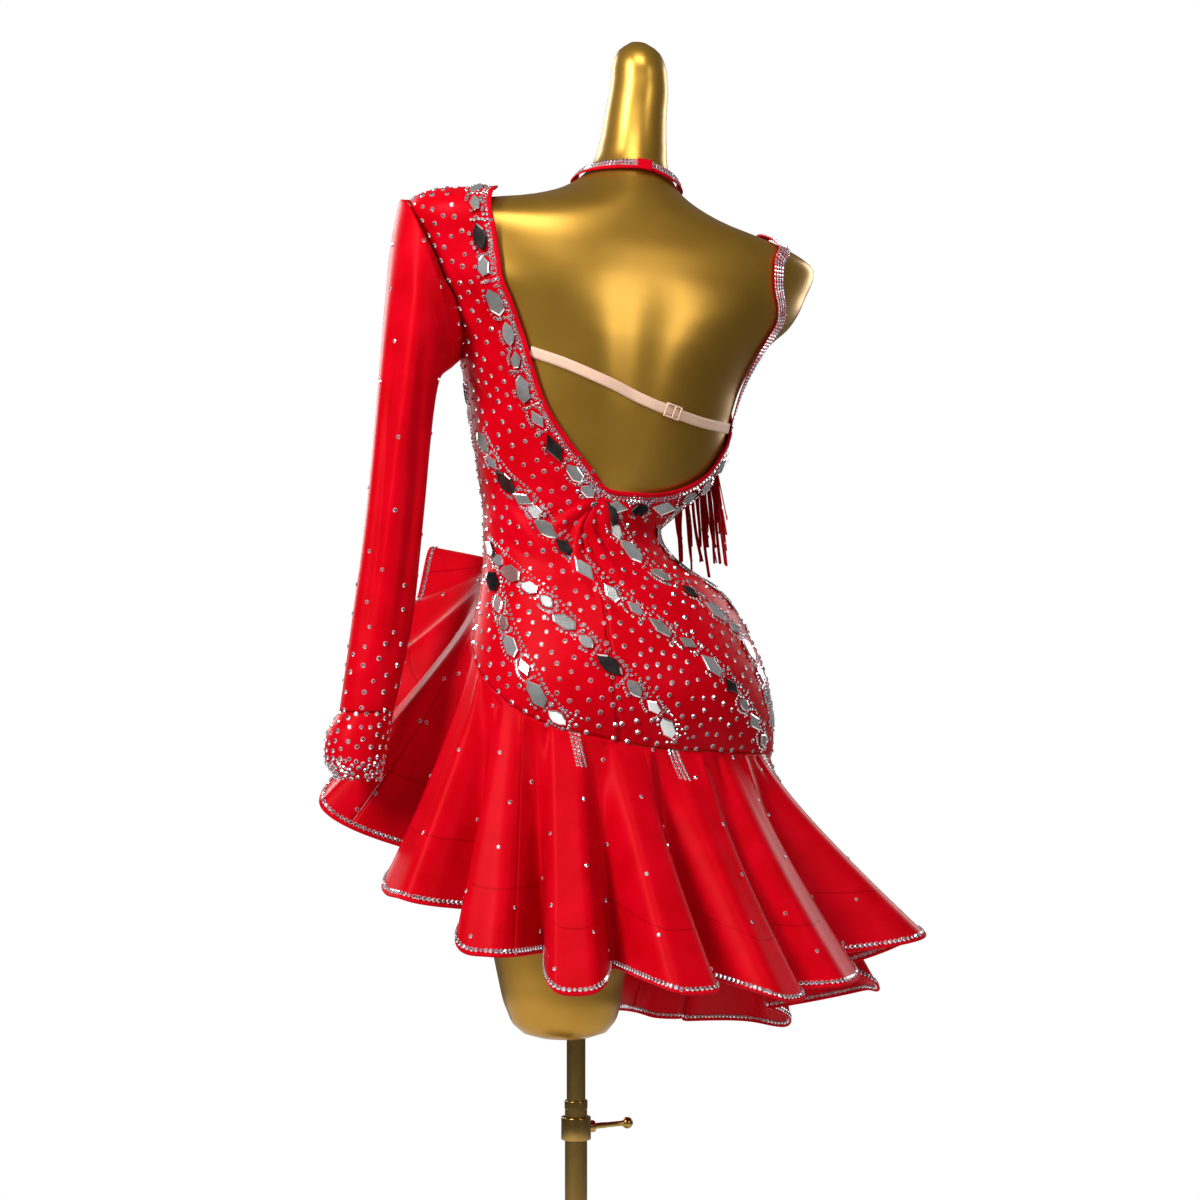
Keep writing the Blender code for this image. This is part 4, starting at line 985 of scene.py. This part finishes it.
def make_bodice():
    side = [(0.0, seam_start(0.0)), (0.0, 1.12), (0.0, 1.20)]
    start = RIGHT_SIDE + 2 * SEAM_DEG
    princess = PRINCESS - SEAM_DEG
    front = PRINCESS + SEAM_DEG
    end = LEFT_SIDE - SEAM_DEG
    low_end = CUT_OUT_LOW[-1][1]
    high_end = CUT_OUT_HIGH[-1][1]
    cup_end = CUP_TOP[-1][1]
    cup_side = [(166.6, 1.1645), (167.0, 1.2175)]
    right_edge = [(RIGHT_SIDE, seam_start(RIGHT_SIDE)), (RIGHT_SIDE, 0.93), (RIGHT_SIDE, 0.985)]
    front_edge = [
        (front, seam_start(PRINCESS)), (front, low_end), (PRINCESS + 4.0, 1.082), (front, high_end),
        (front, cup_end - 0.03), (front, cup_end),
    ]
    back_left = (
        seam_line(SEAM_DEG, 77.0 - ZIP_HALF_DEG, drop=SEAM_DROP),
        [(SEAM_DEG, SHOULDER_TIP), SCOOP_LEFT[-1]],
        moved(side + list(ARMHOLE_BACK), SEAM_DEG),
        moved(CENTRE_BACK, -ZIP_HALF_DEG) + list(SCOOP_LEFT[1:]),
    )
    back_right = (
        seam_line(77.0 + ZIP_HALF_DEG, RIGHT_SIDE, drop=SEAM_DROP),
        [(84.0 + ZIP_HALF_DEG, 1.1375)] + list(SCOOP_RIGHT[1:]),
        moved(CENTRE_BACK, ZIP_HALF_DEG),
        right_edge + list(CUT_OUT_BACK) + [(166.0, 1.216)],
    )
    right_hip = (
        seam_line(start, princess, drop=SEAM_DROP),
        [(start, 0.998)] + list(CUT_OUT_LOW[1:-1]) + [(princess, low_end)],
        [(start, seam_start(start)), (start, 0.93), (start, 0.998)],
        [(princess, seam_start(PRINCESS)), (princess, low_end)],
    )
    right_cup = (
        cup_side[:1] + list(CUT_OUT_HIGH[1:-1]) + [(princess, high_end)],
        cup_side[1:] + list(CUP_TOP[1:-1]) + [(princess, cup_end)],
        cup_side,
        [(princess, high_end), (princess, cup_end)],
    )
    front_lines = (
        seam_line(front, end, drop=SEAM_DROP),
        [NECKLINE[-1], (end, SHOULDER_TIP)],
        front_edge + list(NECKLINE[1:]),
        moved(side, end) + moved(ARMHOLE_FRONT, end),
    )
    cloth_panel("back_left_cloth", back_left, 70, 130, (0.26, 0.60), "back_left_panel")
    cloth_panel("back_right_cloth", back_right, 64, 90, (0.26, 0.40), "back_right_panel")
    cloth_panel("right_hip_cloth", right_hip, 46, 40, (0.20, 0.19), "front_right_hip")
    cloth_panel("right_cup_cloth", right_cup, 46, 40, (0.19, 0.20), "right_cup")
    cloth_panel("front_cloth", front_lines, 90, 130, (0.36, 0.60), "front_panel")
    zip_line = Route(CENTRE_BACK)

    def place_zip(across, up):
        at = zip_line(up * 0.985)
        turn = (across - 0.5) * 2 * (ZIP_HALF_DEG - 0.12)
        lift = CLEARANCE - 0.0006 + crease_height(at[:, 0] + turn, at[:, 1], BODICE_CREASES)
        return skin(at[:, 0] + turn, at[:, 1], lift)

    strip = piece("zip_strip", lattice(4, 90, place_zip), DRESS, BINDING)
    thicken(strip, CLOTH)
    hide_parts("back_zip")
    PANELS[strip.name] = strip


# ---------------------------------------------------------------- sleeve

# Long folds of the sleeve. Columns: turn in degrees, start and end ring, half width in degrees, height
SLEEVE_FOLDS = (
    (42.0, 1.1, 9.0, 15.0, -0.0042),
    (70.0, 0.8, 7.5, 14.0, 0.0026),
    (112.0, 1.8, 9.4, 17.0, -0.0030),
    (146.0, 2.2, 7.8, 15.0, 0.0020),
    (186.0, 2.6, 8.6, 16.0, -0.0022),
    (232.0, 1.4, 8.8, 17.0, -0.0034),
    (266.0, 1.0, 7.8, 15.0, 0.0026),
    (306.0, 2.0, 9.0, 17.0, -0.0030),
)


def armhole_point(turn):
    """Points of the sleeve head, just over the bodice's armhole edge."""
    share = turn / math.pi
    sides = []
    runs = (np.minimum(share, 1.0), np.clip(2.0 - share, 0.0, 1.0))
    for armhole, run in zip((ARMHOLE_BACK, ARMHOLE_FRONT), runs):
        line = [(0.0, 1.402)] + list(reversed(armhole[1:-1])) + [(0.0, 1.264)]
        sides.append(Route(line)(run))
    first, second = sides
    behind = share <= 1.0
    angle = np.where(behind, first[:, 0], second[:, 0])
    level = np.where(behind, first[:, 1], second[:, 1])
    inset = 1.6 * np.sin(math.pi * np.where(behind, np.minimum(share, 1.0), 2.0 - share))
    angle = angle + np.where(behind, -inset, inset)
    return cloth_skin(angle, level, SURFACE + 0.0004)


def ring_points(table, ring, turn):
    outer_x, outer_z, inner_x, inner_z, centre_y, depth = table(ring).T
    cosine = np.cos(turn)
    x = (outer_x + inner_x) / 2 + (outer_x - inner_x) / 2 * cosine
    z = (outer_z + inner_z) / 2 + (outer_z - inner_z) / 2 * cosine
    return np.stack([x, centre_y + depth * np.sin(turn), z], axis=1), np.stack(
        [(outer_x + inner_x) / 2, centre_y, (outer_z + inner_z) / 2], axis=1
    )


def sleeve_surface(table, across, ring):
    turn = across * math.tau
    points, middle = ring_points(table, ring, turn)
    away = unit(points - middle)
    height = np.zeros(len(turn))
    for at, first, last, width, rise in SLEEVE_FOLDS:
        drift = 6.0 * np.sin(ring * 0.9 + at)
        aside = turn_between(np.degrees(turn) + drift, at) / width
        run = np.clip((ring - first) / (last - first), 0.0, 1.0)
        height += rise * np.exp(-(aside**2)) * np.sin(run * math.pi) ** 0.7
    return points + away * height[:, None]


def make_sleeve():
    rows = len(SLEEVE_RINGS)
    table = Table([(k + 1.0, *ring) for k, ring in enumerate(SLEEVE_RINGS)])

    def place(across, up):
        ring = up * rows
        head = armhole_point(across * math.tau)
        body = sleeve_surface(table, across, np.maximum(ring, 1.0))
        share = np.clip(ring, 0.0, 1.0)[:, None]
        share = share * (2.0 - share)
        return np.where(ring[:, None] < 1.0, head * (1 - share) + body * share, body)

    sleeve = piece("sleeve_cloth", lattice(96, 150, place, True, True), DRESS, SATIN)
    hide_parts("sleeve_left")
    thicken(sleeve, CLOTH)
    cuff_rows = len(CUFF_RINGS) - 1
    cuff_table = Table([(float(k), *ring) for k, ring in enumerate(CUFF_RINGS)])

    def place_cuff(across, up):
        points, _ = ring_points(cuff_table, up * cuff_rows, across * math.tau)
        return points

    cuff = piece("cuff_cloth", lattice(80, 30, place_cuff, True, True), DRESS, SATIN)
    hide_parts("sleeve_cuff")
    thicken(cuff, CLOTH)
    PANELS["sleeve_cloth"] = sleeve
    PANELS["cuff_cloth"] = cuff
    SHEETS.append((sleeve, (0.24, 0.56), "hung", ["back_left_cloth", "front_cloth"]))
    SHEETS.append((cuff, (0.20, 0.09), "hung", ["sleeve_cloth"]))


# ---------------------------------------------------------------- flounce

FOLDS_PER_GODET = 2
GODET_SEAM = 0.25
# Small gathers that run down from the flounce seam. Columns: fold number, share of the drop, depth
GATHERS = (
    (1.30, 0.16, 0.0012), (2.60, 0.22, -0.0016), (3.22, 0.34, 0.0034), (3.74, 0.30, -0.0034),
    (4.30, 0.22, 0.0030), (4.70, 0.42, -0.0034), (5.25, 0.30, 0.0034), (5.66, 0.24, -0.0034),
    (6.32, 0.36, 0.0034), (6.74, 0.26, -0.0034), (7.26, 0.24, 0.0034), (7.66, 0.44, -0.0034),
    (8.34, 0.30, 0.0034), (8.76, 0.26, -0.0034), (9.25, 0.36, 0.0034), (9.68, 0.28, -0.0034),
    (10.30, 0.30, 0.0034), (10.72, 0.34, -0.0030), (11.30, 0.26, 0.0030), (11.66, 0.30, -0.0034),
    (12.28, 0.36, 0.0030), (12.70, 0.26, -0.0030), (13.30, 0.30, 0.0034), (13.70, 0.34, -0.0030),
    (14.30, 0.28, 0.0024), (14.68, 0.30, -0.0028), (15.40, 0.24, 0.0020),
)


def fold_at(count):
    """Seam angles and hem points of the flounce at fold numbers; halves are the valleys."""
    folds = np.array(FOLDS)
    total = len(folds)
    whole = np.floor(count).astype(int)
    share = count - whole
    here = folds[whole % total]
    after = folds[(whole + 1) % total]
    lap = 360.0 * (whole // total)
    lap_after = 360.0 * ((whole + 1) // total)
    seam = here[:, 0] + lap + (after[:, 0] + lap_after - here[:, 0] - lap) * share
    first = share <= 0.5
    ridge = np.where(first[:, None], here[:, 1:4], after[:, 1:4])
    ridge[:, 0] += np.where(first, lap, lap_after)
    valley = here[:, 4:7].copy()
    valley[:, 0] += lap
    way = np.where(first, share * 2, (1 - share) * 2)
    turn = ridge[:, 0] + (valley[:, 0] - ridge[:, 0]) * way**RIDGE_SPREAD
    ease = 0.5 - 0.5 * np.cos(math.pi * way)
    radius = ridge[:, 1] + (valley[:, 1] - ridge[:, 1]) * ease**RIDGE_FULLNESS
    height = ridge[:, 2] + (valley[:, 2] - ridge[:, 2]) * ease
    angle = np.radians(turn)
    return seam, np.stack([radius * np.cos(angle), radius * np.sin(angle), height], axis=1)


def flounce_point(count, down):
    """Points of the flounce, down running from 0 at the seam to 1 at the hem."""
    seam, hem = fold_at(count)
    start = skin(seam, seam_level(seam) - SEAM_DROP, SURFACE)
    ease = (down**1.12)[:, None]
    points = start * (1 - ease) + hem * ease
    points[:, 2] = start[:, 2] + (hem[:, 2] - start[:, 2]) * down**0.96
    away = outward_at(seam, seam_level(seam))
    lift = np.zeros(len(count))
    total = len(FOLDS)
    for at, reach, depth in GATHERS:
        aside = ((count - at + total / 2) % total - total / 2) / (0.07 + 0.10 * down)
        fade = np.clip(1.0 - down / reach, 0.0, 1.0)
        lift += depth * np.exp(-(aside**2)) * fade * np.clip(down / 0.03, 0.0, 1.0)
    ripple = 0.0016 * np.sin(count * 9.7 + down * 3.0) * down * (1 - down) * 2.0
    return points + away * (lift + ripple)[:, None]


def above_hem(count, down):
    """Length of cloth between points of the flounce and its hem."""
    seam, hem = fold_at(count)
    start = skin(seam, seam_level(seam) - SEAM_DROP, SURFACE)
    return (1.0 - down) * np.linalg.norm(hem - start, axis=1)


def make_flounce():
    godets = len(FOLDS) // FOLDS_PER_GODET
    for number in range(godets):
        first = number * FOLDS_PER_GODET + GODET_SEAM
        heights = []

        def place(across, up, first=first, heights=heights):
            count = first + 0.0003 + across * (FOLDS_PER_GODET - 0.0006)
            heights.append(above_hem(count, 1.0 - up))
            return flounce_point(count, 1.0 - up)

        name = f"flounce_cloth_{number + 1}"
        godet = piece(name, lattice(110, 84, place), DRESS, FLOUNCE_SATIN)
        store = godet.data.attributes.new("above_hem", "FLOAT", "POINT")
        store.data.foreach_set("value", heights[0])
        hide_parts(f"flounce_godet_{number + 1}")
        thicken(godet, CLOTH, -1.0)
        PANELS[name] = godet
        SHEETS.append((godet, None, "gathered", ["back_left_cloth", "back_right_cloth"]))


def hem_frame(count):
    """Hem points with the vectors along the hem, out of the cloth and down to the edge."""
    ones = np.ones(len(count))
    here = flounce_point(count, ones)
    along = unit(flounce_point(count + 0.004, ones) - flounce_point(count - 0.004, ones))
    down = unit(here - flounce_point(count, ones * 0.985))
    return here, along, unit(np.cross(along, -down)), down


def even_counts(spacing):
    """Fold numbers that step evenly along the hem."""
    count = np.linspace(0.0, len(FOLDS), 9000)
    path = flounce_point(count, np.ones(len(count)))
    run = np.concatenate([[0.0], np.cumsum(np.linalg.norm(np.diff(path, axis=0), axis=1))])
    return np.interp(np.arange(0.0, run[-1] - spacing / 2, spacing), run, count)


def make_hem():
    count = even_counts(0.004)
    here, along, out, down = hem_frame(count)

    def place(across, up):
        index = np.round(across * len(count)).astype(int) % len(count)
        turn = up * math.tau
        ring = out[index] * (np.cos(turn) * 0.0015)[:, None] - down[index] * (np.sin(turn) * 0.0019)[:, None]
        return here[index] - out[index] * 0.0006 + down[index] * 0.0004 + ring

    bm = lattice(len(count), 8, place, True)
    bmesh.ops.recalc_face_normals(bm, faces=bm.faces)
    hem = piece("hem_edge", bm, DRESS, BINDING)
    count = even_counts(0.0054)
    here, along, out, down = hem_frame(count)
    places = []
    for k in range(len(count)):
        for side in (1.0, -1.0):
            base = here[k] - down[k] * 0.0042 + out[k] * (0.0004 if side > 0 else -0.0016)
            size = 0.0026 if k % 7 else 0.0020
            normal = out[k] * side
            places.append((0, frame_matrix(base, along[k], normal, (size, size, size))))
    stones = repeat("hem_stones", [STONE], places, DRESS, [CRYSTAL, PAINTED_DARK_TABLE])


# ---------------------------------------------------------------- stones and mirrors


def stone_shape():
    """Foiled round stone of unit radius: a bright bevelled ring round a table coloured dark as a painted dark
    reflection.
    """
    bm = bmesh.new()
    bmesh.ops.create_cone(bm, cap_ends=True, segments=8, radius1=1.0, radius2=0.60, depth=0.5)
    bmesh.ops.translate(bm, verts=bm.verts, vec=(0, 0, 0.25))
    # The upward table takes the painted dark reflection
    for face in bm.faces:
        if face.normal.z > 0.9:
            face.material_index = 1
    return mesh_from("stone", bm)


def mirror_shape(corners, tint):
    """Flat mirror of unit half length with a bevelled rim, in one of the mirror tones; the near-black tone is
    a painted dark reflection.
    """
    bm = bmesh.new()
    verts = [bm.verts.new((x, y, 0.0)) for x, y in corners]
    face = bm.faces.new(verts)
    bmesh.ops.recalc_face_normals(bm, faces=[face])
    if face.normal.z < 0:
        bmesh.ops.reverse_faces(bm, faces=[face])
    lifted = bmesh.ops.extrude_face_region(bm, geom=[face])
    top = [item for item in lifted["geom"] if isinstance(item, bmesh.types.BMFace)]
    bmesh.ops.translate(bm, verts=[v for f in top for v in f.verts], vec=(0, 0, 1.0))
    bmesh.ops.inset_region(bm, faces=top, thickness=0.16, depth=0.0)
    bmesh.ops.translate(bm, verts=top[0].verts[:], vec=(0, 0, 0.35))
    bmesh.ops.recalc_face_normals(bm, faces=bm.faces)
    for face in bm.faces:
        face.material_index = tint
    return mesh_from("mirror", bm)


def line_frames(points, step, shift=0.0, start=0.0, end=1.0, lift=SURFACE):
    """Evenly spaced frames along a line on the cloth, moved sideways."""
    length = line_length(points) * (end - start)
    number = max(int(length / step), 1)
    share = start + (np.arange(number) + 0.5) / number * (end - start)
    middle, ahead, aside, normal = ribbon_frame(points, lift, share)
    return middle + aside * shift, ahead, aside, normal


def mirror_row(points, rng, mirrors, crystals, shift=0.0, start=0.0, end=1.0, small=1.0):
    """Mirrors set end to end along a line, with crystals round them."""
    length = line_length(points)
    at = start * length
    run = rng.randrange(len(MIRROR_RUN))
    while True:
        long, wide = MIRROR_RUN[run % len(MIRROR_RUN)]
        long *= small * (0.92 + 0.16 * rng.random())
        wide *= small
        run += 1
        if at + long > end * length:
            break
        share = np.array([(at + long / 2) / length])
        middle, ahead, aside, normal = ribbon_frame(points, SURFACE + 0.0004, share)
        tilt = np.array([rng.uniform(-0.10, 0.10) for _ in range(3)])
        place = middle[0] + aside[0] * (shift + rng.uniform(-0.0012, 0.0012))
        slant = ahead[0] + aside[0] * rng.uniform(-0.22, 0.22)
        matrix = frame_matrix(place, slant, normal[0] + tilt, (long / 2, wide / 2, 0.0014))
        # Mirror tone taken in turn; tone 2 is the painted dark reflection
        tint = MIRROR_TURNS[len(mirrors) % len(MIRROR_TURNS)]
        mirrors.append((rng.randrange(len(MIRROR_SHAPES)) * len(MIRRORS) + tint, matrix))
        TAKEN.append((place, long / 2))
        edge = wide / 2 + 0.0026
        for k in range(7):
            along = (k - 3) / 3.0
            bow = edge * (1.0 - 0.35 * along**2)
            for side in (-1.0, 1.0):
                if rng.random() < 0.35:
                    continue
                spot = place + slant * (along * long * 0.5) + aside[0] * side * bow
                radius = rng.choice((0.0014, 0.0018, 0.0022))
                crystals.append((0, frame_matrix(spot, ahead[0], normal[0] + tilt, (radius,) * 3)))
        at += long + 0.0040
        share = np.array([min((at - 0.0020) / length, 1.0)])
        middle, ahead, aside, normal = ribbon_frame(points, SURFACE, share)
        for side, radius in ((-0.0056, 0.0016), (-0.0022, 0.0021), (0.0022, 0.0019), (0.0058, 0.0017)):
            spot = middle[0] + aside[0] * (shift + side) + ahead[0] * rng.uniform(-0.0012, 0.0012)
            crystals.append((0, frame_matrix(spot, ahead[0], normal[0], (radius,) * 3)))


def crystal_row(points, step, radius, shift, crystals, rng, start=0.0, end=1.0, lift=SURFACE):
    middle, ahead, _, normal = line_frames(points, step, shift, start, end, lift)
    for k in range(len(middle)):
        size = radius * (0.9 + 0.2 * rng.random())
        crystals.append((0, frame_matrix(middle[k], ahead[k], normal[k], (size,) * 3)))


def scatter(obj, spacing, radius, rng, places, avoid=0.0, lift=CLOTH, band=(0.0, 2.0)):
    """Single stones spread over a cloth piece, clear of each other and of the mirrors."""
    mesh = obj.data
    order = list(range(len(mesh.polygons)))
    rng.shuffle(order)
    taken = {}

    def cell(point):
        return tuple(int(math.floor(c / spacing)) for c in point)

    def near(point):
        around = itertools.product(*((k - 1, k, k + 1) for k in cell(point)))
        others = (other for spot in around for other in taken.get(spot, ()))
        return any((other - point).length < spacing * 0.86 for other in others)

    blocked = [(Vector(place), reach) for place, reach in TAKEN] if avoid else []
    for index in order:
        face = mesh.polygons[index]
        point = face.center
        if not band[0] < point.z <= band[1] or near(point):
            continue
        if any((place - point).length < reach + avoid for place, reach in blocked):
            continue
        taken.setdefault(cell(point), []).append(point.copy())
        normal = face.normal
        size = radius * (0.88 + 0.24 * rng.random())
        places.append((0, frame_matrix(point + normal * lift, Vector((0.3, 0.2, 1.0)), normal, (size,) * 3)))


def crystal_tail(at, end, crystals):
    """Three short rows of crystals that run down the flounce below a mirror row."""
    for k in range(9):
        down = 0.004 + end * k / 9
        for side in (-0.030, 0.0, 0.030):
            count = at + side * 2.2 + 0.01 * k
            spot, beside, below = flounce_point(
                np.array([count, count + 0.02, count]), np.array([down, down, down + 0.02])
            )
            normal = np.cross(beside - spot, spot - below)
            crystals.append((0, frame_matrix(spot, spot - below, normal, (0.0019,) * 3)))


def make_stones():
    rng = random.Random(7)
    mirrors = []
    crystals = []
    scoop = list(reversed(SCOOP_LEFT)) + list(SCOOP_RIGHT[1:])
    # Mirror rows along the edges. Columns: line, sideways shift, start, end, size
    for line, shift, start, end, small in (
        (scoop, -0.0155, 0.03, 0.985, 1.0),
        (CUT_OUT_BACK, 0.0125, 0.04, 0.96, 0.9),
        (CUT_OUT_LOW, -0.0125, 0.04, 0.98, 0.9),
        (CUT_OUT_HIGH, 0.0125, 0.04, 0.98, 0.9),
        (NECKLINE, -0.0125, 0.02, 0.97, 0.9),
    ):
        mirror_row(line, rng, mirrors, crystals, shift, start, end, small)
    for line in MIRROR_LINES.values():
        mirror_row(line, rng, mirrors, crystals)
    shapes = [mirror_shape(shape, tint) for shape in MIRROR_SHAPES for tint in range(len(MIRRORS))]
    repeat("mirrors", shapes, mirrors, DRESS, MIRRORS)
    for line, side in (
        (scoop, -1.0), (CUT_OUT_BACK, 1.0), (CUT_OUT_LOW, -1.0),
        (CUT_OUT_HIGH, 1.0), (NECKLINE, -1.0), (CUP_TOP, -1.0),
    ):
        crystal_row(line, 0.0038, 0.0017, side * 0.0034, crystals, rng)
        crystal_row(line, 0.0048, 0.0019, side * 0.0072, crystals, rng)
    for line in MIRROR_LINES.values():
        crystal_row(line, 0.0058, 0.0016, 0.0112, crystals, rng)
    for at, end in CRYSTAL_TAILS:
        crystal_tail(at, end, crystals)
    repeat("band_crystals", [STONE], crystals, DRESS, [CRYSTAL, PAINTED_DARK_TABLE])
    singles = []
    for name in ("back_left_cloth", "back_right_cloth", "right_hip_cloth", "right_cup_cloth", "front_cloth"):
        scatter(PANELS[name], 0.0140, 0.0027, rng, singles, 0.0050)
    for name, spacing, radius, low, high in SLEEVE_STONES:
        scatter(PANELS[name], spacing, radius, rng, singles, band=(low, high))
    for number in range(len(FOLDS) // FOLDS_PER_GODET):
        scatter(PANELS[f"flounce_cloth_{number + 1}"], 0.056, 0.0023, rng, singles, lift=0.0)
    repeat("single_stones", [STONE], singles, DRESS, [CRYSTAL, PAINTED_DARK_TABLE])


# ---------------------------------------------------------------- straps, bands and fringe


def make_bands():
    rng = random.Random(3)
    scoop = list(reversed(SCOOP_LEFT)) + list(SCOOP_RIGHT[1:-1]) + [(165.0, 1.213)]
    edge = SURFACE - 0.0016
    ribbons = (
        ("scoop_elastic", BINDING, scoop, 0.0034, edge, 0.0026, 260, "red_binding", -0.0002, False, 0.0004),
        ("cut_out_elastic", BINDING, CUT_OUT_BACK, 0.0034, edge, 0.0026, 90, "red_binding", 0.0002, False,
         0.0004),
        ("strap_tape", BINDING, SHOULDER_STRAP, 0.0142, 0.0024, 0.0014, 160, "stone_trim"),
        ("elastic_tape", ELASTIC_TAPE, ELASTIC, 0.0110, 0.0009, 0.0011, 160, "nude_elastic"),
        ("neckband_tape", BINDING, NECKBAND, 0.0108, 0.0036, 0.0014, 200, "stone_trim", 0.0, True),
        ("neckband_clasp", BINDING, NECK_TAB, 0.0125, 0.0060, 0.0016, 12, "red_binding", 0.0, False, 0.0006),
    )
    stands_for = (
        "scoop_binding", "cut_out_binding", "shoulder_strap", "elastic_strap", "neckband", "neckband_tab"
    )
    made = [ribbon(*row) for row in ribbons]
    for band, node_name in zip(made, stands_for):
        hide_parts(node_name)
    soften(made[-1], 0.0005)
    for band, row in zip(made[2:], ribbons[2:]):
        length = round(line_length(row[2], 0.003) * 1.01, 3)
        SHEETS.append((band, (row[3], length), "stretched", ["dress_form"]))
    gems = []
    for shift in (-0.0054, -0.0018, 0.0018, 0.0054):
        crystal_row(list(SHOULDER_STRAP), 0.0037, 0.0018, shift, gems, rng, 0.0, 1.0, 0.0038)
    for shift in (0.0002, 0.0042):
        crystal_row(list(NECKBAND), 0.0044, 0.0022, shift, gems, rng, 0.0, 1.0, 0.0050)
    repeat("strap_crystals", [STONE], gems, DRESS, [CRYSTAL, PAINTED_DARK_TABLE])
    make_slider()


def make_slider():
    """Adjuster of the elastic: a rounded frame with a middle bar."""
    middle, ahead, _, normal = ribbon_frame(SLIDER, 0.0030, np.array([0.5]))
    bm = bmesh.new()
    for x, y, half_x, half_y in SLIDER_BARS:
        made = bmesh.ops.create_cube(bm, size=2.0)
        bmesh.ops.scale(bm, vec=(half_x, half_y, 0.0007), verts=made["verts"])
        bmesh.ops.translate(bm, vec=(x, y, 0.0004 if x else 0.0), verts=made["verts"])
    bmesh.ops.bevel(
        bm, geom=bm.edges[:], offset=0.0003, affect="EDGES", segments=2, profile=0.5, material=-1
    )
    placed = frame_matrix(middle[0], ahead[0], normal[0], (1.0, 1.0, 1.0))
    bmesh.ops.transform(bm, matrix=placed, verts=bm.verts)
    slider = piece("elastic_adjuster", bm, DRESS, CLEAR_NUDE)
    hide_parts("elastic_slider")


def strand(number):
    """Angle, length and sideways sway of one strand of the fringe."""
    length = 0.050 + 0.010 * ((number * 7) % 5) + 0.004 * ((number * 3) % 4)
    return 165.5 + number * 1.62, length, 0.0025 * ((number * 5) % 7 - 3)


def make_fringe():
    rng = random.Random(11)
    edge = Route(CUT_OUT_HIGH)
    bm = bmesh.new()
    stones = []
    for number in range(STRANDS):
        angle, length, sway = strand(number)
        top_level = float(edge((angle - 163.5) / (PRINCESS - 163.5))[0, 1]) + 0.004
        top = skin([angle], [top_level], SURFACE + 0.0006)[0]
        out = outward_at([angle], [top_level])[0]
        out[2] = 0.0
        out /= np.linalg.norm(out)
        along = np.array([-out[1], out[0], 0.0])
        turn = rng.uniform(-0.8, 0.8)
        flat = along * math.cos(turn) + out * math.sin(turn)
        made = bmesh.ops.create_grid(bm, x_segments=1, y_segments=14, size=0.5)
        for vert in made["verts"]:
            across = vert.co.x
            fall = 0.5 - vert.co.y
            bend = sway * fall**1.6 + 0.0012 * math.sin(fall * 5.0 + angle)
            point = top + out * (0.0010 + 0.010 * fall) + along * bend + flat * across * STRAND_WIDTH
            point = point - np.array([0.0, 0.0, length * fall])
            vert.co = point
        if rng.random() < 0.6:
            fall = rng.uniform(0.35, 0.98)
            spot = top + out * (0.0020 + 0.010 * fall) + along * (sway * fall**1.6)
            spot = spot - np.array([0, 0, length * fall])
            stones.append((0, frame_matrix(spot, (0, 0, 1), np.cross(flat, (0, 0, -1.0)), (0.0019,) * 3)))
    strands = piece("fringe_strands", bm, DRESS, SATIN)
    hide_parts("fringe")
    thicken(strands, 0.0010, 0.0)
    beads = repeat("fringe_stones", [STONE], stones, DRESS, [CRYSTAL, PAINTED_DARK_TABLE])


# ---------------------------------------------------------------- room


def make_room():
    bpy.context.scene.view_settings.view_transform = "Standard"
    world = bpy.data.worlds.new("studio")
    bpy.context.scene.world = world
    world.use_nodes = True
    tree = world.node_tree
    studio = tree.nodes["Background"]
    studio.inputs["Color"].default_value = (0.115, 0.115, 0.12, 1.0)
    backdrop = node(tree, "ShaderNodeBackground", {"Color": (1.0, 1.0, 1.0, 1.0)})
    path = node(tree, "ShaderNodeLightPath")
    choice = node(tree, "ShaderNodeMixShader")
    join(path, "Is Camera Ray", choice, 0)
    join(studio, "Background", choice, 1)
    join(backdrop, "Background", choice, 2)
    join(choice, "Shader", tree.nodes["World Output"], "Surface")
    bm = bmesh.new()
    bmesh.ops.create_circle(bm, cap_ends=True, segments=96, radius=FLOOR_RADIUS)
    material, _, _ = start_material("floor_paint", 0.8, 0.0, {"Base Color": (0.93, 0.93, 0.93, 1.0)})
    floor = bpy.data.objects.new("floor", mesh_from("floor", bm))
    floor.data.materials.append(material)
    floor.location.z = -0.0005
    bpy.context.scene.collection.objects.link(floor)


def make_lights():
    for name, azimuth, height, distance, width, length, power in LAMPS:
        data = bpy.data.lights.new(name, "AREA")
        data.shape = "RECTANGLE"
        data.size = width
        data.size_y = length
        data.energy = power
        lamp = bpy.data.objects.new(name, data)
        turn = math.radians(azimuth)
        lamp.location = (math.sin(turn) * distance, -math.cos(turn) * distance, height)
        aim = Vector((0.0, 0.0, 1.05)) - lamp.location
        lamp.rotation_euler = aim.to_track_quat("-Z", "Y").to_euler()
        bpy.context.scene.collection.objects.link(lamp)


def make_camera():
    right = Vector((math.cos(CAMERA_TURN), math.sin(CAMERA_TURN), 0.0))
    toward = Vector((math.sin(CAMERA_TURN), -math.cos(CAMERA_TURN), 0.0))
    target = right * CAMERA_ASIDE + Vector((0.0, 0.0, CAMERA_HEIGHT))
    data = bpy.data.cameras.new("camera")
    data.lens = CAMERA_LENS
    camera = bpy.data.objects.new("camera", data)
    camera.location = target + toward * CAMERA_DISTANCE
    camera.rotation_euler = (target - camera.location).to_track_quat("-Z", "Y").to_euler()
    bpy.context.scene.collection.objects.link(camera)
    bpy.context.scene.camera = camera


def declare_sheets():
    for obj, flat, held, rests_on in SHEETS:
        if flat is None:
            area = mesh_area(obj)
            length = 0.36
            flat = (max(area / length * 1.25, 0.05), length)


make_camera()
make_room()
make_lights()
STONE = stone_shape()
TAKEN = []
make_form()
make_stand()
make_bodice()
make_sleeve()
make_flounce()
make_hem()
make_stones()
make_bands()
make_fringe()
declare_sheets()
